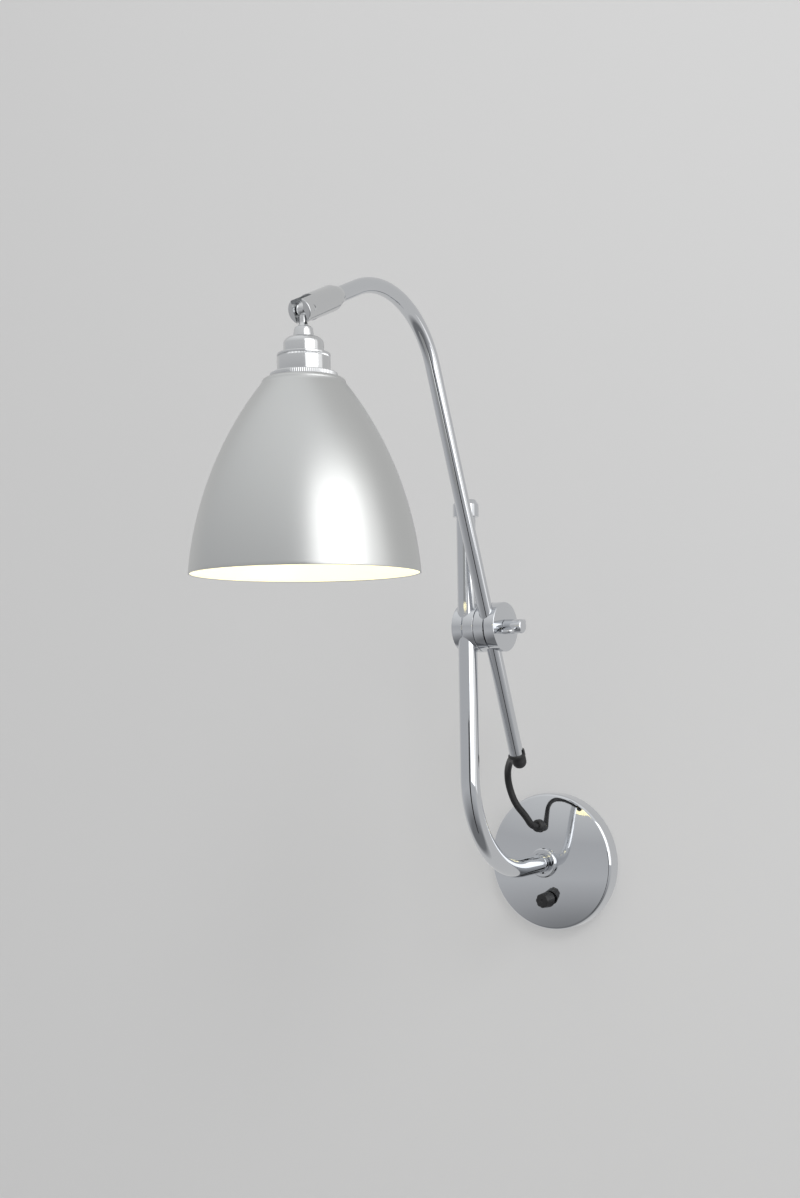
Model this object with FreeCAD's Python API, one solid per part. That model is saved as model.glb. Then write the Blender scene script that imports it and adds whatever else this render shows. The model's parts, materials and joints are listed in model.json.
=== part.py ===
import FreeCAD, Part
import math
import os

# Articulating wall lamp. Millimetres, +Z up, the wall is the plane y = 0 and the lamp stands
# out along -Y. The origin is the centre of the round wall plate, on the wall.

V = FreeCAD.Vector
OUT = V(0, -1, 0)  # away from the wall
ACROSS = V(1, 0, 0)
UP = V(0, 0, 1)

# Fits
run_gap = 0.05  # radial clearance of a shaft that turns or slides in its hole
seat_gap = 0.3  # clearance between a piece and what it sits beside

# Wall plate and the bracket behind it
plate_radius = 60.2
plate_depth = 24.3  # at the middle of its domed face
plate_wall = 1.2
plate_edge_depth = 13.2
plate_crown_share = 0.49  # of the plate's radius, where the crown's end tangents meet
plate_crown_fill = 0.998  # of the way from there to the middle that the crown's arc takes up
plate_edge_round = 3.6
face_gap = 0.05  # between the domed face and the flat pieces that sit on it
bracket_thickness = 2.0
bracket_screw_spacing = 60.0
bracket_screw_hole_radius = 2.5
cable_hole_radius = 7.0
cable_hole_x = -22.0
cable_hole_z = 16.0
ear_width = 14.0
ear_depth = 9.0
plate_screw_radius = 2.0
plate_screw_y = -6.0

# Collar that carries the lower arm
collar_radius = 13.0
collar_length = 4.0  # past the highest point of the plate
collar_round = 1.6
collar_mouth_step = 1.2
collar_mouth_depth = 1.6
stem_radius = 10.0
stem_length = 17.8
stem_hole_gap = 0.2
locknut_flats = 26.0
locknut_thickness = 3.0
grub_radius = 1.25
grub_length = 4.0
grub_share = 0.45  # of the collar's length, from the plate to its grub screw
grub_socket_radius = 0.7

# Flex and its entry into the plate
flex_radius = 3.05
grommet_x = -6.0
grommet_z = 32.0
grommet_radius = 5.6
grommet_stand = 5.1  # its outer face, off the plate's face
grommet_neck = 4.4
grommet_flange = 1.4  # thickness of its inner flange
tail_bend_radius = 5.9
tail_gap = 0.25  # between the flex's tail and the bracket it lies on

# Switch
switch_x = 2.8
switch_z = -32.0
switch_body_radius = 9.0
switch_nose_radius = 5.0
switch_nut_radius = 5.9
switch_nut_height = 0.75
switch_shaft_radius = 2.0
knob_gap = 0.25  # from the switch's nut to the knob
knob_length = 11.9
knob_base_radius = 6.9
knob_tip_radius = 6.2
knob_flutes = 8
knob_flute_radius = 2.4
knob_flute_depth = 0.45

# Terminal block, earth terminal and cord clamp, inside the plate
block_start_x = 14.0
block_length = 22.0
block_height = 12.0
block_depth = 8.0
terminal_screw_radius = 1.6
earth_x = -26.0
earth_z = -22.0
earth_radius = 4.0
clamp_bar_x = 6.8
clamp_bar_width = 4.6
clamp_bar_wall = 1.2

# Lower arm
lower_radius = 8.0
lower_wall = 1.5
lower_reach = 148.0  # from the wall to the upright tube's axis
lower_bend_radius = 84.0
lower_top = 297.7
lower_inner_end = 4.6  # the tube's inner end, from the wall
circlip_thickness = 1.1
circlip_width = 2.1
circlip_groove = 0.5
cap_radius = 10.8
cap_height = 14.4
cap_chamfer_height = 4.0
cap_chamfer_width = 2.7
cap_spigot = 8.0

# Cross clamp between the arms
clamp_z = 205.4
drum_radius = 20.5
drum_chamfer = 0.5
cheek_slit = 1.2
lower_cheek_width = 9.6
upper_cheek_width = 9.2
cheek_joint_gap = 0.2
lower_offset = 10.8  # from the bolt's axis to the lower tube's axis
upper_offset = 9.81
ring_wall = 0.4
ring_height = 4.2
bolt_radius = 2.0
bolt_head_radius = 4.6
bolt_head_height = 2.2
bolt_hole_gap = 0.1
wing_hub_radius = 6.2
wing_hub_end_radius = 5.8
wing_hub_length = 16.3
wing_bore_depth = 12.5
wing_start = 2.5  # from the nut's seat to the near edge of its wings
wing_end = 12.5
wing_reach = 15.0  # from the nut's axis to a wing's tip
wing_thickness = 3.0
wing_near_round = 3.0
wing_far_round = 4.0
wing_turn = 20.0  # degrees that the wings are turned from level
bolt_end_gap = 0.5  # from the bolt's end to the bottom of the nut's bore

# Upper arm
upper_x = 20.5  # sideways from the lower arm's plane
upper_radius = 6.0
upper_wall = 1.0
upper_lean = 21.5  # degrees from upright, top away from the wall
upper_below = 110.01  # from the clamp to the lower end
upper_above = 223.19  # from the clamp to the start of the bend
upper_bend_radius = 75.0
end_slope = 25.0  # degrees that the arm's end points below level
end_length = 71.0  # from the bend to the shade's pin

# Boot on the upper arm's lower end
boot_sleeve_wall = 1.3
boot_sleeve_height = 7.0
boot_lobe_radius = 6.0
boot_lobe_shift = 2.0
boot_lobe_length = 7.4
boot_plug_length = 8.0
boot_nozzle_radius = 4.1
boot_nozzle_reach = 7.6
boot_nozzle_drop = 3.0
boot_nozzle_way = (-0.741, 0.661, -0.120)  # the way that the flex leaves the boot

# Knuckle and the pin that the shade tilts on
barrel_radius = 9.5
barrel_ahead = 5.5  # from the pin to the open end
barrel_behind = 36.0
ferrule_radius = 8.8
ferrule_middle_radius = 8.1
ferrule_tip_radius = 6.9
ferrule_length = 8.5
tube_end_behind = 16.0  # from the pin back to the tube's end inside the barrel
wire_bore_radius = 3.2
slot_width = 9.4
slot_behind = 7.5
pin_radius = 2.0
pin_inset = 0.3
knuckle_grub_radius = 1.5
knuckle_grub_behind = 26.0
knuckle_groove = 0.45
knuckle_groove_width = 3.4

# Tongue and lampholder, as depths below the pin
tongue_half_width = 4.1
tongue_ball_radius = 5.3
tongue_waist_radius = 2.9
tongue_waist_depth = 9.6
tongue_foot_radius = 4.2
tongue_foot_depth = 12.4
tongue_shank_radius = 3.2
tongue_shank_end = 26.0
tongue_bore_radius = 1.5
tongue_nut_radius = 6.2
tongue_nut_height = 3.0
neck_top_radius = 6.3
neck_foot_radius = 7.7
neck_foot_depth = 19.8
holder_cap_radius = 14.3
holder_cap_round = 5.2
holder_cap_end = 30.7
holder_wall = 1.2
bead_radius = 18.8
bead_lip_end = 33.4
bead_groove_radius = 18.1
bead_end = 34.6
holder_radius = 18.8
holder_end = 45.4
shade_ring_radius = 23.7
shade_ring_end = 49.4
sleeve_radius = 19.7
sleeve_wall = 1.8
sleeve_end = 84.0
lock_ring_radius = 24.0
lock_ring_height = 3.6
core_top = 38.0
core_height = 12.0
core_gap = 0.2
shell_radius = 14.2
shell_wall = 0.5
shell_stop_gap = 0.8  # from the shell's lower edge to the bulb's glass
contact_radius = 4.0
contact_height = 2.4

# Shade
shade_rim_radius = 80.0
shade_height = 135.6
shade_arc_radius = 250.7  # of the single arc that the side follows
shade_wall = 1.2
shade_shoulder_radius = 29.54
shade_shoulder_round = 3.4

# Bulb
bulb_cap_radius = 13.3
bulb_cap_wall = 0.6
bulb_cap_length = 26.0
bulb_glass_wall = 0.9
bulb_neck_radius = 14.6
bulb_globe_radius = 30.0
bulb_length = 104.0

# Corners of the free flex's route, from the grommet to the boot: x, y, z
FLEX_ROUTE = [
    (-9.5, -38.7, 41.6),
    (-15.1, -47.4, 52.6),
    (-19.3, -51.1, 68.6),
    (-17.3, -56.6, 81.4),
    (-8.1, -68.4, 90.1),
    (2.5, -83.6, 94.2),
]
flex_exit_run = 7.8  # straight run out of the grommet
flex_boot_run = 5.5  # straight run into the boot


# ---------------------------------------------------------------- helpers

def outline(corners):
    """A closed wire in the local XZ plane through (r, z) or (r, z, rounding) corners."""
    points = [V(c[0], 0, c[1]) for c in corners]
    rounds = [c[2] if len(c) > 2 else 0.0 for c in corners]
    count = len(points)
    entries, exits, arcs = [], [], []
    for i in range(count):
        corner = points[i]
        back = (points[i - 1] - corner).normalize()
        ahead = (points[(i + 1) % count] - corner).normalize()
        if rounds[i] <= 0:
            entries.append(corner)
            exits.append(corner)
            arcs.append(None)
            continue
        half = back.getAngle(ahead) / 2
        cut = rounds[i] / math.tan(half)
        middle = (back + ahead).normalize()
        centre = corner + middle * (rounds[i] / math.sin(half))
        entries.append(corner + back * cut)
        exits.append(corner + ahead * cut)
        arcs.append(centre - middle * rounds[i])
    edges = []
    for i in range(count):
        if arcs[i]:
            edges.append(Part.Arc(entries[i], arcs[i], exits[i]).toShape())
        nxt = (i + 1) % count
        if exits[i].distanceToPoint(entries[nxt]) > 1e-7:
            edges.append(Part.LineSegment(exits[i], entries[nxt]).toShape())
    return Part.Wire(edges)


def place(shape, origin, direction):
    """Moves a shape made about the local +Z axis to an origin and a direction."""
    placed = shape.copy()
    placed.Placement = FreeCAD.Placement(origin, FreeCAD.Rotation(UP, direction))
    return placed


def turned(corners, origin, direction):
    """A solid of revolution from its half outline."""
    face = Part.Face(outline(corners))
    return place(face.revolve(V(0, 0, 0), UP, 360), origin, direction)


def rod(radius, origin, direction, length):
    return Part.makeCylinder(radius, length, origin, direction)


def ring(inner, outer, origin, direction, length):
    return rod(outer, origin, direction, length).cut(rod(inner, origin, direction, length))


def block(x, y, z):
    """A box from three (low, high) pairs."""
    size = [high - low for low, high in (x, y, z)]
    return Part.makeBox(size[0], size[1], size[2], V(x[0], y[0], z[0]))


def piped(path, radius):
    """A round bar along a list of edges."""
    wire = Part.Wire(path)
    start = path[0].valueAt(path[0].FirstParameter)
    along = path[0].tangentAt(path[0].FirstParameter)
    profile = Part.Wire(Part.makeCircle(radius, start, along))
    return wire.makePipeShell([profile], True, False)


def route_edges(points):
    """Straight runs joined by tangent arcs, each as large as its two runs allow."""
    corners = [V(*p) for p in points]
    edges = []
    last = corners[0]
    for before, corner, after in zip(corners, corners[1:], corners[2:]):
        back = before - corner
        ahead = after - corner
        turn = math.pi - back.getAngle(ahead)
        cut = 0.45 * min(back.Length, ahead.Length)
        radius = cut / math.tan(turn / 2)
        back.normalize()
        ahead.normalize()
        middle = (back + ahead).normalize()
        bow = radius / math.cos(turn / 2) - radius
        edges.append(Part.LineSegment(last, corner + back * cut).toShape())
        arc = Part.Arc(corner + back * cut, corner + middle * bow, corner + ahead * cut)
        edges.append(arc.toShape())
        last = corner + ahead * cut
    edges.append(Part.LineSegment(last, corners[-1]).toShape())
    return edges


def save(name, shape):
    if len(shape.Solids) == 1:
        shape = shape.Solids[0]
    shape.exportStep("parts/" + name + ".step")
    made.append((name, shape))


# ---------------------------------------------------------------- shared places

bracket_radius = plate_radius - plate_wall - seat_gap
plate_crown_corner = plate_crown_share * plate_radius
plate_slope = math.atan((plate_depth - plate_edge_depth) / (plate_radius - plate_crown_corner))
plate_crown_radius = plate_crown_fill * plate_crown_corner / math.tan(plate_slope / 2)
collar_end = plate_depth + collar_length
grub_depth = plate_depth + grub_share * collar_length
bolt_y = -(lower_reach - lower_offset)
lean = math.radians(upper_lean)
arm_up = V(0, -math.sin(lean), math.cos(lean))
arm_side = V(0, -math.cos(lean), -math.sin(lean))
clamp_centre = V(0, bolt_y, clamp_z)
upper_foot = V(upper_x, bolt_y, clamp_z) + arm_side * upper_offset
upper_start = upper_foot - arm_up * upper_below
bend_start = upper_foot + arm_up * upper_above
bend_centre = bend_start + arm_side * upper_bend_radius
bend_turn = math.pi / 2 - lean + math.radians(end_slope)
end_way = V(0, -math.cos(math.radians(end_slope)), -math.sin(math.radians(end_slope)))
end_side = V(0, math.sin(math.radians(end_slope)), -math.cos(math.radians(end_slope)))
bend_end = bend_centre - end_side * upper_bend_radius
pin_centre = bend_end + end_way * end_length
half_x = lower_cheek_width + cheek_slit / 2
upper_left = upper_x - cheek_slit / 2 - upper_cheek_width
upper_right = upper_x + cheek_slit / 2 + upper_cheek_width
cheek_seam = min(half_x, upper_left - cheek_joint_gap)
shade_top = pin_centre - UP * shade_ring_end
shade_rim = shade_top - UP * shade_height


def crown_depth(radius, inset):
    """Depth of the plate's domed face at a radius, drawn in by an inset."""
    bow = plate_crown_radius - inset
    return plate_depth - inset - bow + math.sqrt(bow ** 2 - radius ** 2)


collar_foot = crown_depth(stem_radius + stem_hole_gap, 0.0) + face_gap
locknut_face = crown_depth(locknut_flats / math.sqrt(3), plate_wall) - face_gap
grommet_reach = math.hypot(grommet_x, grommet_z)
grommet_end = crown_depth(grommet_reach, 0.0) + grommet_stand
grommet_inner_top = crown_depth(grommet_reach + grommet_radius, plate_wall) - face_gap
grommet_inner_end = grommet_inner_top - grommet_flange
switch_reach = math.hypot(switch_x, switch_z)
switch_nut_start = crown_depth(switch_reach - switch_nut_radius, 0.0) + face_gap
switch_body_front = crown_depth(switch_reach + switch_body_radius, plate_wall) - face_gap
knob_start = switch_nut_start + switch_nut_height + knob_gap


def below(depth):
    """The point on the shade's axis at a depth under the pin."""
    return pin_centre - UP * depth


def bulb_start():
    """Depth of the bulb's tip contact, under the socket's centre contact."""
    return core_top + core_height + contact_height + seat_gap


def stack(corners):
    """A turned lampholder piece, its corners given as (radius, depth under the pin)."""
    flipped = [(c[0], -c[1]) + tuple(c[2:]) for c in corners]
    return turned(flipped, pin_centre, UP)


# ---------------------------------------------------------------- wall plate

def plate_form(inset):
    """The wall plate as one solid back to the wall, drawn in by an inset."""
    corner = plate_crown_corner - inset * math.tan(plate_slope / 2)
    top = plate_depth - inset
    rim = plate_radius - inset
    return turned(
        [
            (0, top),
            (corner, top, plate_crown_radius - inset),
            (rim, top - (rim - corner) * math.tan(plate_slope), plate_edge_round - inset),
            (rim, 0),
            (0, 0),
        ],
        V(0, 0, 0),
        OUT,
    )


def make_plate():
    shell = plate_form(0.0).cut(plate_form(plate_wall))
    holes = [
        rod(stem_radius + stem_hole_gap, V(0, 0, 0), OUT, plate_depth + 1),
        rod(grommet_neck, V(grommet_x, 0, grommet_z), OUT, plate_depth + 1),
        rod(switch_nose_radius + run_gap, V(switch_x, 0, switch_z), OUT, plate_depth + 1),
        rod(plate_screw_radius + run_gap, V(0, plate_screw_y, -plate_radius - 1), UP, 4),
    ]
    for hole in holes:
        shell = shell.cut(hole)
    save("wall_plate", shell)


def make_bracket():
    disc = rod(bracket_radius, V(0, 0, 0), OUT, bracket_thickness)
    rim = ring(
        bracket_radius - bracket_thickness,
        bracket_radius,
        V(0, 0, 0),
        OUT,
        bracket_thickness + ear_depth,
    )
    half = ear_width / 2
    deep = -(bracket_thickness + ear_depth)
    ears = rim.common(block((-half, half), (deep, 0), (-plate_radius, plate_radius)))
    bracket = disc.fuse(ears)
    for side in (-1, 1):
        at = V(side * bracket_screw_spacing / 2, 1, 0)
        bracket = bracket.cut(rod(bracket_screw_hole_radius, at, OUT, bracket_thickness + 2))
    cable = V(cable_hole_x, 1, cable_hole_z)
    bracket = bracket.cut(rod(cable_hole_radius, cable, OUT, bracket_thickness + 2))
    tapped = V(0, plate_screw_y, -plate_radius)
    bracket = bracket.cut(rod(plate_screw_radius + run_gap, tapped, UP, 6))
    save("wall_bracket", bracket.removeSplitter())


def make_plate_screw():
    start = V(0, plate_screw_y, -plate_radius + 0.2)
    screw = rod(plate_screw_radius, start, UP, plate_wall + bracket_thickness + 1.2)
    save("plate_screw", screw.cut(rod(grub_socket_radius, start, UP, 1.4)))


def make_collar():
    bore = lower_radius + run_gap
    inner = plate_depth - stem_length
    collar = turned(
        [
            (bore, inner),
            (stem_radius, inner),
            (stem_radius, collar_foot),
            (collar_radius, collar_foot),
            (collar_radius, collar_end, collar_round),
            (bore + collar_mouth_step, collar_end),
            (bore + collar_mouth_step, collar_end - collar_mouth_depth),
            (bore, collar_end - collar_mouth_depth),
        ],
        V(0, 0, 0),
        OUT,
    )
    at = V(0, -grub_depth, -collar_radius - 1)
    save("arm_collar", collar.cut(rod(grub_radius + run_gap, at, UP, 6)))


def make_collar_fixings():
    nut = Part.Face(Part.makePolygon([
        V(
            locknut_flats / math.sqrt(3) * math.cos(math.radians(60 * i)),
            locknut_flats / math.sqrt(3) * math.sin(math.radians(60 * i)),
            0,
        )
        for i in range(7)
    ])).extrude(UP * locknut_thickness)
    nut = place(nut, OUT * (locknut_face - locknut_thickness), OUT)
    bore = rod(stem_radius + run_gap, V(0, 0, 0), OUT, plate_depth)
    save("collar_locknut", nut.cut(bore))
    start = V(0, -grub_depth, -collar_radius + 0.4)
    screw = rod(grub_radius, start, UP, grub_length)
    save("collar_grub_screw", screw.cut(rod(grub_socket_radius, start, UP, 1.6)))


def make_grommet():
    at = V(grommet_x, 0, grommet_z)
    inner = turned(
        [
            (flex_radius, grommet_inner_end),
            (grommet_radius, grommet_inner_end, 0.6),
            (grommet_radius, grommet_inner_top),
            (grommet_neck, grommet_inner_top),
            (grommet_neck, grommet_end - 1),
            (flex_radius, grommet_end - 1),
        ],
        at,
        OUT,
    )
    flange = turned(
        [
            (flex_radius, grommet_inner_top),
            (grommet_radius, grommet_inner_top),
            (grommet_radius, grommet_end, 2.4),
            (flex_radius, grommet_end),
        ],
        at,
        OUT,
    )
    flange = flange.cut(plate_form(-face_gap / 2))
    save("cord_grommet", inner.fuse(flange).removeSplitter())


def make_flex_tail():
    mouth = V(grommet_x, -grommet_end, grommet_z)
    level = -(bracket_thickness + tail_gap + flex_radius)
    turn_start = V(grommet_x, level - tail_bend_radius, grommet_z)
    turn_end = V(grommet_x + tail_bend_radius, level, grommet_z)
    slant = tail_bend_radius * (1 - math.sqrt(0.5))
    middle = V(grommet_x + slant, level - slant, grommet_z)
    end = V(block_start_x, level, grommet_z)
    path = [
        Part.LineSegment(mouth, turn_start).toShape(),
        Part.Arc(turn_start, middle, turn_end).toShape(),
        Part.LineSegment(turn_end, end).toShape(),
    ]
    save("flex_tail", piped(path, flex_radius))


def make_terminals():
    high = -(bracket_thickness + block_depth)
    body = block(
        (block_start_x, block_start_x + block_length),
        (high, -bracket_thickness),
        (grommet_z - block_height / 2, grommet_z + block_height / 2),
    )
    wells, screws = [], []
    for column in range(3):
        x = block_start_x + block_length * (column + 0.5) / 3
        for side in (-1, 1):
            at = V(x, high, grommet_z + side * block_height / 4)
            wells.append(rod(terminal_screw_radius + run_gap, at, V(0, 1, 0), 5))
            screws.append(rod(terminal_screw_radius, at + V(0, 0.6, 0), V(0, 1, 0), 4.4))
    for well in wells:
        body = body.cut(well)
    save("terminal_block", body)
    save("terminal_screws", Part.makeCompound(screws))
    at = V(earth_x, -bracket_thickness, earth_z)
    earth = rod(earth_radius, at, OUT, 1.0).fuse(rod(earth_radius * 0.8, at + OUT, OUT, 2.4))
    save("earth_terminal", earth.removeSplitter())


def make_cord_clamp():
    level = -(bracket_thickness + tail_gap + flex_radius)
    over = level - flex_radius - clamp_bar_wall
    half = flex_radius + 5.0
    x = (clamp_bar_x, clamp_bar_x + clamp_bar_width)
    bar = block(x, (over, -bracket_thickness), (grommet_z - half, grommet_z + half))
    tunnel = rod(flex_radius + run_gap, V(x[0] - 1, level, grommet_z), ACROSS, clamp_bar_width + 2)
    floor = block(
        (x[0] - 1, x[1] + 1),
        (level, 0),
        (grommet_z - flex_radius - run_gap, grommet_z + flex_radius + run_gap),
    )
    save("cord_clamp", bar.cut(tunnel).cut(floor))


def make_switch():
    at = V(switch_x, 0, switch_z)
    nose_end = switch_nut_start + switch_nut_height
    depth = switch_body_front - bracket_thickness - 1.8
    body = rod(switch_body_radius, at + OUT * (switch_body_front - depth), OUT, depth)
    nose = rod(
        switch_nose_radius, at + OUT * (switch_body_front - 1), OUT, nose_end - switch_body_front + 1
    )
    hole_start = at + OUT * (switch_body_front - 5)
    shaft_hole = rod(switch_shaft_radius + run_gap, hole_start, OUT, nose_end)
    save("switch_body", body.fuse(nose).removeSplitter().cut(shaft_hole))
    nut = ring(
        switch_nose_radius + run_gap,
        switch_nut_radius,
        at + OUT * switch_nut_start,
        OUT,
        switch_nut_height,
    )
    save("switch_nut", nut)
    base = knob_start
    knob = turned(
        [
            (0, base),
            (knob_base_radius, base),
            (knob_tip_radius, base + knob_length, 1.2),
            (1.6, base + knob_length),
            (0, base + knob_length - 1.0),
        ],
        at,
        OUT,
    )
    reach = knob_base_radius + knob_flute_radius - knob_flute_depth
    for i in range(knob_flutes):
        angle = 2 * math.pi * (i + 0.5) / knob_flutes
        side = V(math.cos(angle), 0, math.sin(angle))
        tilt = OUT * knob_length - side * (knob_base_radius - knob_tip_radius)
        start = at + OUT * (base + 1.6) + side * reach
        knob = knob.cut(rod(knob_flute_radius, start, tilt.normalize(), knob_length))
    shaft_start = switch_body_front - 4.6
    shaft = rod(switch_shaft_radius, at + OUT * shaft_start, OUT, base - shaft_start + 0.4)
    save("switch_knob", knob.fuse(shaft).removeSplitter())


# ---------------------------------------------------------------- lower arm

def lower_path():
    bend_y = -(lower_reach - lower_bend_radius)
    slant = lower_bend_radius * math.sqrt(0.5)
    middle = V(0, bend_y - slant, lower_bend_radius - slant)
    upright = V(0, -lower_reach, lower_bend_radius)
    return [
        Part.LineSegment(OUT * lower_inner_end, V(0, bend_y, 0)).toShape(),
        Part.Arc(V(0, bend_y, 0), middle, upright).toShape(),
        Part.LineSegment(upright, V(0, -lower_reach, lower_top)).toShape(),
    ]


def make_lower_arm():
    path = lower_path()
    tube = piped(path, lower_radius).cut(piped(path, lower_radius - lower_wall))
    clip_start = plate_depth - stem_length - seat_gap - circlip_thickness
    groove = lower_radius - circlip_groove
    slot = ring(groove, lower_radius + 1, OUT * clip_start, OUT, circlip_thickness)
    save("lower_arm_tube", tube.cut(slot))
    clip = ring(groove, groove + circlip_width, OUT * clip_start, OUT, circlip_thickness)
    mouth = block((-3, 3), (-plate_depth, 0), (0, stem_radius * 2))
    save("arm_circlip", clip.cut(mouth))
    spigot = lower_radius - lower_wall - run_gap
    cap = turned(
        [
            (0, -cap_spigot),
            (spigot, -cap_spigot),
            (spigot, 0),
            (cap_radius, 0, 0.5),
            (cap_radius, cap_height - cap_chamfer_height, 0.8),
            (cap_radius - cap_chamfer_width, cap_height, 0.8),
            (0, cap_height),
        ],
        V(0, -lower_reach, lower_top),
        UP,
    )
    save("lower_arm_cap", cap)


# ---------------------------------------------------------------- cross clamp

def cheek(start_x, end_x, chamfer_start, chamfer_end):
    """A round cheek on the bolt's axis, with its outer edges broken."""
    width = end_x - start_x
    first = drum_chamfer if chamfer_start else 0.06
    last = drum_chamfer if chamfer_end else 0.06
    return turned(
        [
            (bolt_radius + bolt_hole_gap, 0),
            (drum_radius - first, 0),
            (drum_radius, first),
            (drum_radius, width - last),
            (drum_radius - last, width),
            (bolt_radius + bolt_hole_gap, width),
        ],
        V(start_x, bolt_y, clamp_z),
        ACROSS,
    )


def tube_way(radius, middle, direction):
    """The bore that a tube runs in, with the wider recess for its friction ring."""
    reach = 2 * drum_radius
    bore = rod(radius + run_gap, middle - direction * reach, direction, 2 * reach)
    recess = rod(
        radius + run_gap + ring_wall + run_gap,
        middle - direction * (ring_height / 2 + run_gap),
        direction,
        ring_height + 2 * run_gap,
    )
    return bore.fuse(recess)


def friction_ring(radius, middle, direction):
    start = middle - direction * (ring_height / 2)
    return ring(radius + run_gap, radius + run_gap + ring_wall, start, direction, ring_height)


def make_clamp():
    slit = cheek_slit / 2
    lower_middle = V(0, -lower_reach, clamp_z)
    lower_way = tube_way(lower_radius, lower_middle, UP)
    save("lower_cheek_outer", cheek(-half_x, -slit, True, False).cut(lower_way))
    save("lower_cheek_inner", cheek(slit, cheek_seam, False, True).cut(lower_way))
    upper_way = tube_way(upper_radius, upper_foot, arm_up)
    save("upper_cheek_inner", cheek(upper_left, upper_x - slit, True, False).cut(upper_way))
    save("upper_cheek_outer", cheek(upper_x + slit, upper_right, False, True).cut(upper_way))
    save("lower_friction_ring", friction_ring(lower_radius, lower_middle, UP))
    save("upper_friction_ring", friction_ring(upper_radius, upper_foot, arm_up))


def make_bolt():
    bore_end = upper_right + seat_gap + wing_bore_depth
    length = bore_end - bolt_end_gap + half_x
    bolt = turned(
        [
            (0, -bolt_head_height),
            (bolt_head_radius, -bolt_head_height, 1.6),
            (bolt_head_radius, 0),
            (bolt_radius, 0),
            (bolt_radius, length, 0.4),
            (0, length),
        ],
        V(-half_x, bolt_y, clamp_z),
        ACROSS,
    )
    save("clamp_bolt", bolt)


def make_wing_nut():
    seat = upper_right + seat_gap
    bore = bolt_radius + run_gap
    hub = turned(
        [
            (bore, 0),
            (wing_hub_radius, 0, 0.5),
            (wing_hub_end_radius, wing_hub_length, 1.8),
            (0, wing_hub_length),
            (0, wing_bore_depth),
            (bore, wing_bore_depth),
        ],
        V(0, 0, 0),
        ACROSS,
    )
    wings = Part.Face(outline([
        (wing_start, -wing_reach, wing_near_round),
        (wing_end, -wing_reach, wing_far_round),
        (wing_end, wing_reach, wing_far_round),
        (wing_start, wing_reach, wing_near_round),
    ])).extrude(V(0, wing_thickness, 0))
    wings.translate(V(0, -wing_thickness / 2, 0))
    wings = wings.cut(rod(bore, V(0, 0, 0), ACROSS, wing_bore_depth))
    nut = hub.fuse(wings).removeSplitter()
    nut.rotate(V(0, 0, 0), ACROSS, 90 + wing_turn)
    nut.translate(V(seat, bolt_y, clamp_z))
    save("wing_nut", nut)


# ---------------------------------------------------------------- upper arm

def upper_path(start, end):
    """The upper arm's centreline, from a point on its lower straight to one on its end."""
    half = bend_turn / 2
    mid_way = arm_side * -math.cos(half) + arm_up * math.sin(half)
    middle = bend_centre + mid_way * upper_bend_radius
    return [
        Part.LineSegment(start, bend_start).toShape(),
        Part.Arc(bend_start, middle, bend_end).toShape(),
        Part.LineSegment(bend_end, end).toShape(),
    ]


def make_upper_arm():
    end = pin_centre - end_way * tube_end_behind
    path = upper_path(upper_start, end)
    tube = piped(path, upper_radius).cut(piped(path, upper_radius - upper_wall))
    groove_at = pin_centre - end_way * (knuckle_grub_behind + knuckle_groove_width / 2)
    inner = upper_radius - knuckle_groove
    groove = ring(inner, upper_radius + 1, groove_at, end_way, knuckle_groove_width)
    save("upper_arm_tube", tube.cut(groove))


def boot_frame():
    """Where the flex leaves the boot, and the way that it points."""
    root = upper_start - arm_up * boot_nozzle_drop
    return root, V(*boot_nozzle_way).normalize()


def make_boot():
    root, way = boot_frame()
    down = arm_up * -1
    bore = upper_radius - upper_wall - run_gap
    plug = rod(bore, upper_start - down * boot_plug_length, down, boot_plug_length)
    lobe_root = upper_start - arm_side * boot_lobe_shift
    lobe = rod(boot_lobe_radius, lobe_root, down, boot_lobe_length)
    tip = Part.makeSphere(boot_lobe_radius, lobe_root + down * boot_lobe_length)
    lip_radius = upper_radius + run_gap + boot_sleeve_wall
    lip = ring(
        upper_radius + run_gap, lip_radius, upper_start, arm_up, boot_sleeve_height
    )
    half = block((-20, 20), (-20, 0), (-1, boot_sleeve_height + 1))
    half = place(half, upper_start, arm_up)
    lip = lip.cut(half)
    foot = rod(lip_radius, upper_start, down, 2.0)
    nozzle = rod(boot_nozzle_radius, root, way, boot_nozzle_reach)
    boot = plug.fuse([lobe, tip, foot, lip, nozzle]).removeSplitter()
    wall = ring(bore, upper_radius + run_gap, upper_start, arm_up, 2 * boot_sleeve_height)
    outside = rod(flex_radius, root + way * boot_nozzle_reach, way, 2 * boot_nozzle_reach)
    boot = boot.cut(wall).cut(piped(flex_inside(), flex_radius)).cut(outside)
    save("arm_end_boot", boot)


def flex_inside():
    """The flex's way from the boot's nozzle, round into the tube and up to the knuckle."""
    root, way = boot_frame()
    mouth = root + way * boot_nozzle_reach
    first = upper_start + arm_up * 24
    corner_cut = (mouth - root).Length * 0.9
    start = root + way * corner_cut
    finish = root + arm_up * corner_cut
    turn = math.pi - way.getAngle(arm_up)
    radius = corner_cut / math.tan(turn / 2)
    middle_way = (way + arm_up).normalize()
    middle = root + middle_way * (radius / math.cos(turn / 2) - radius)
    return [
        Part.LineSegment(mouth, start).toShape(),
        Part.Arc(start, middle, finish).toShape(),
        Part.LineSegment(finish, first).toShape(),
    ]


def make_arm_flex():
    edges = flex_inside()
    entry = edges[-1].valueAt(edges[-1].LastParameter)
    end = pin_centre - end_way * (slot_behind + 1.0)
    path = edges + upper_path(entry, end)
    save("arm_flex", piped(path, flex_radius))


# ---------------------------------------------------------------- knuckle

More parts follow.
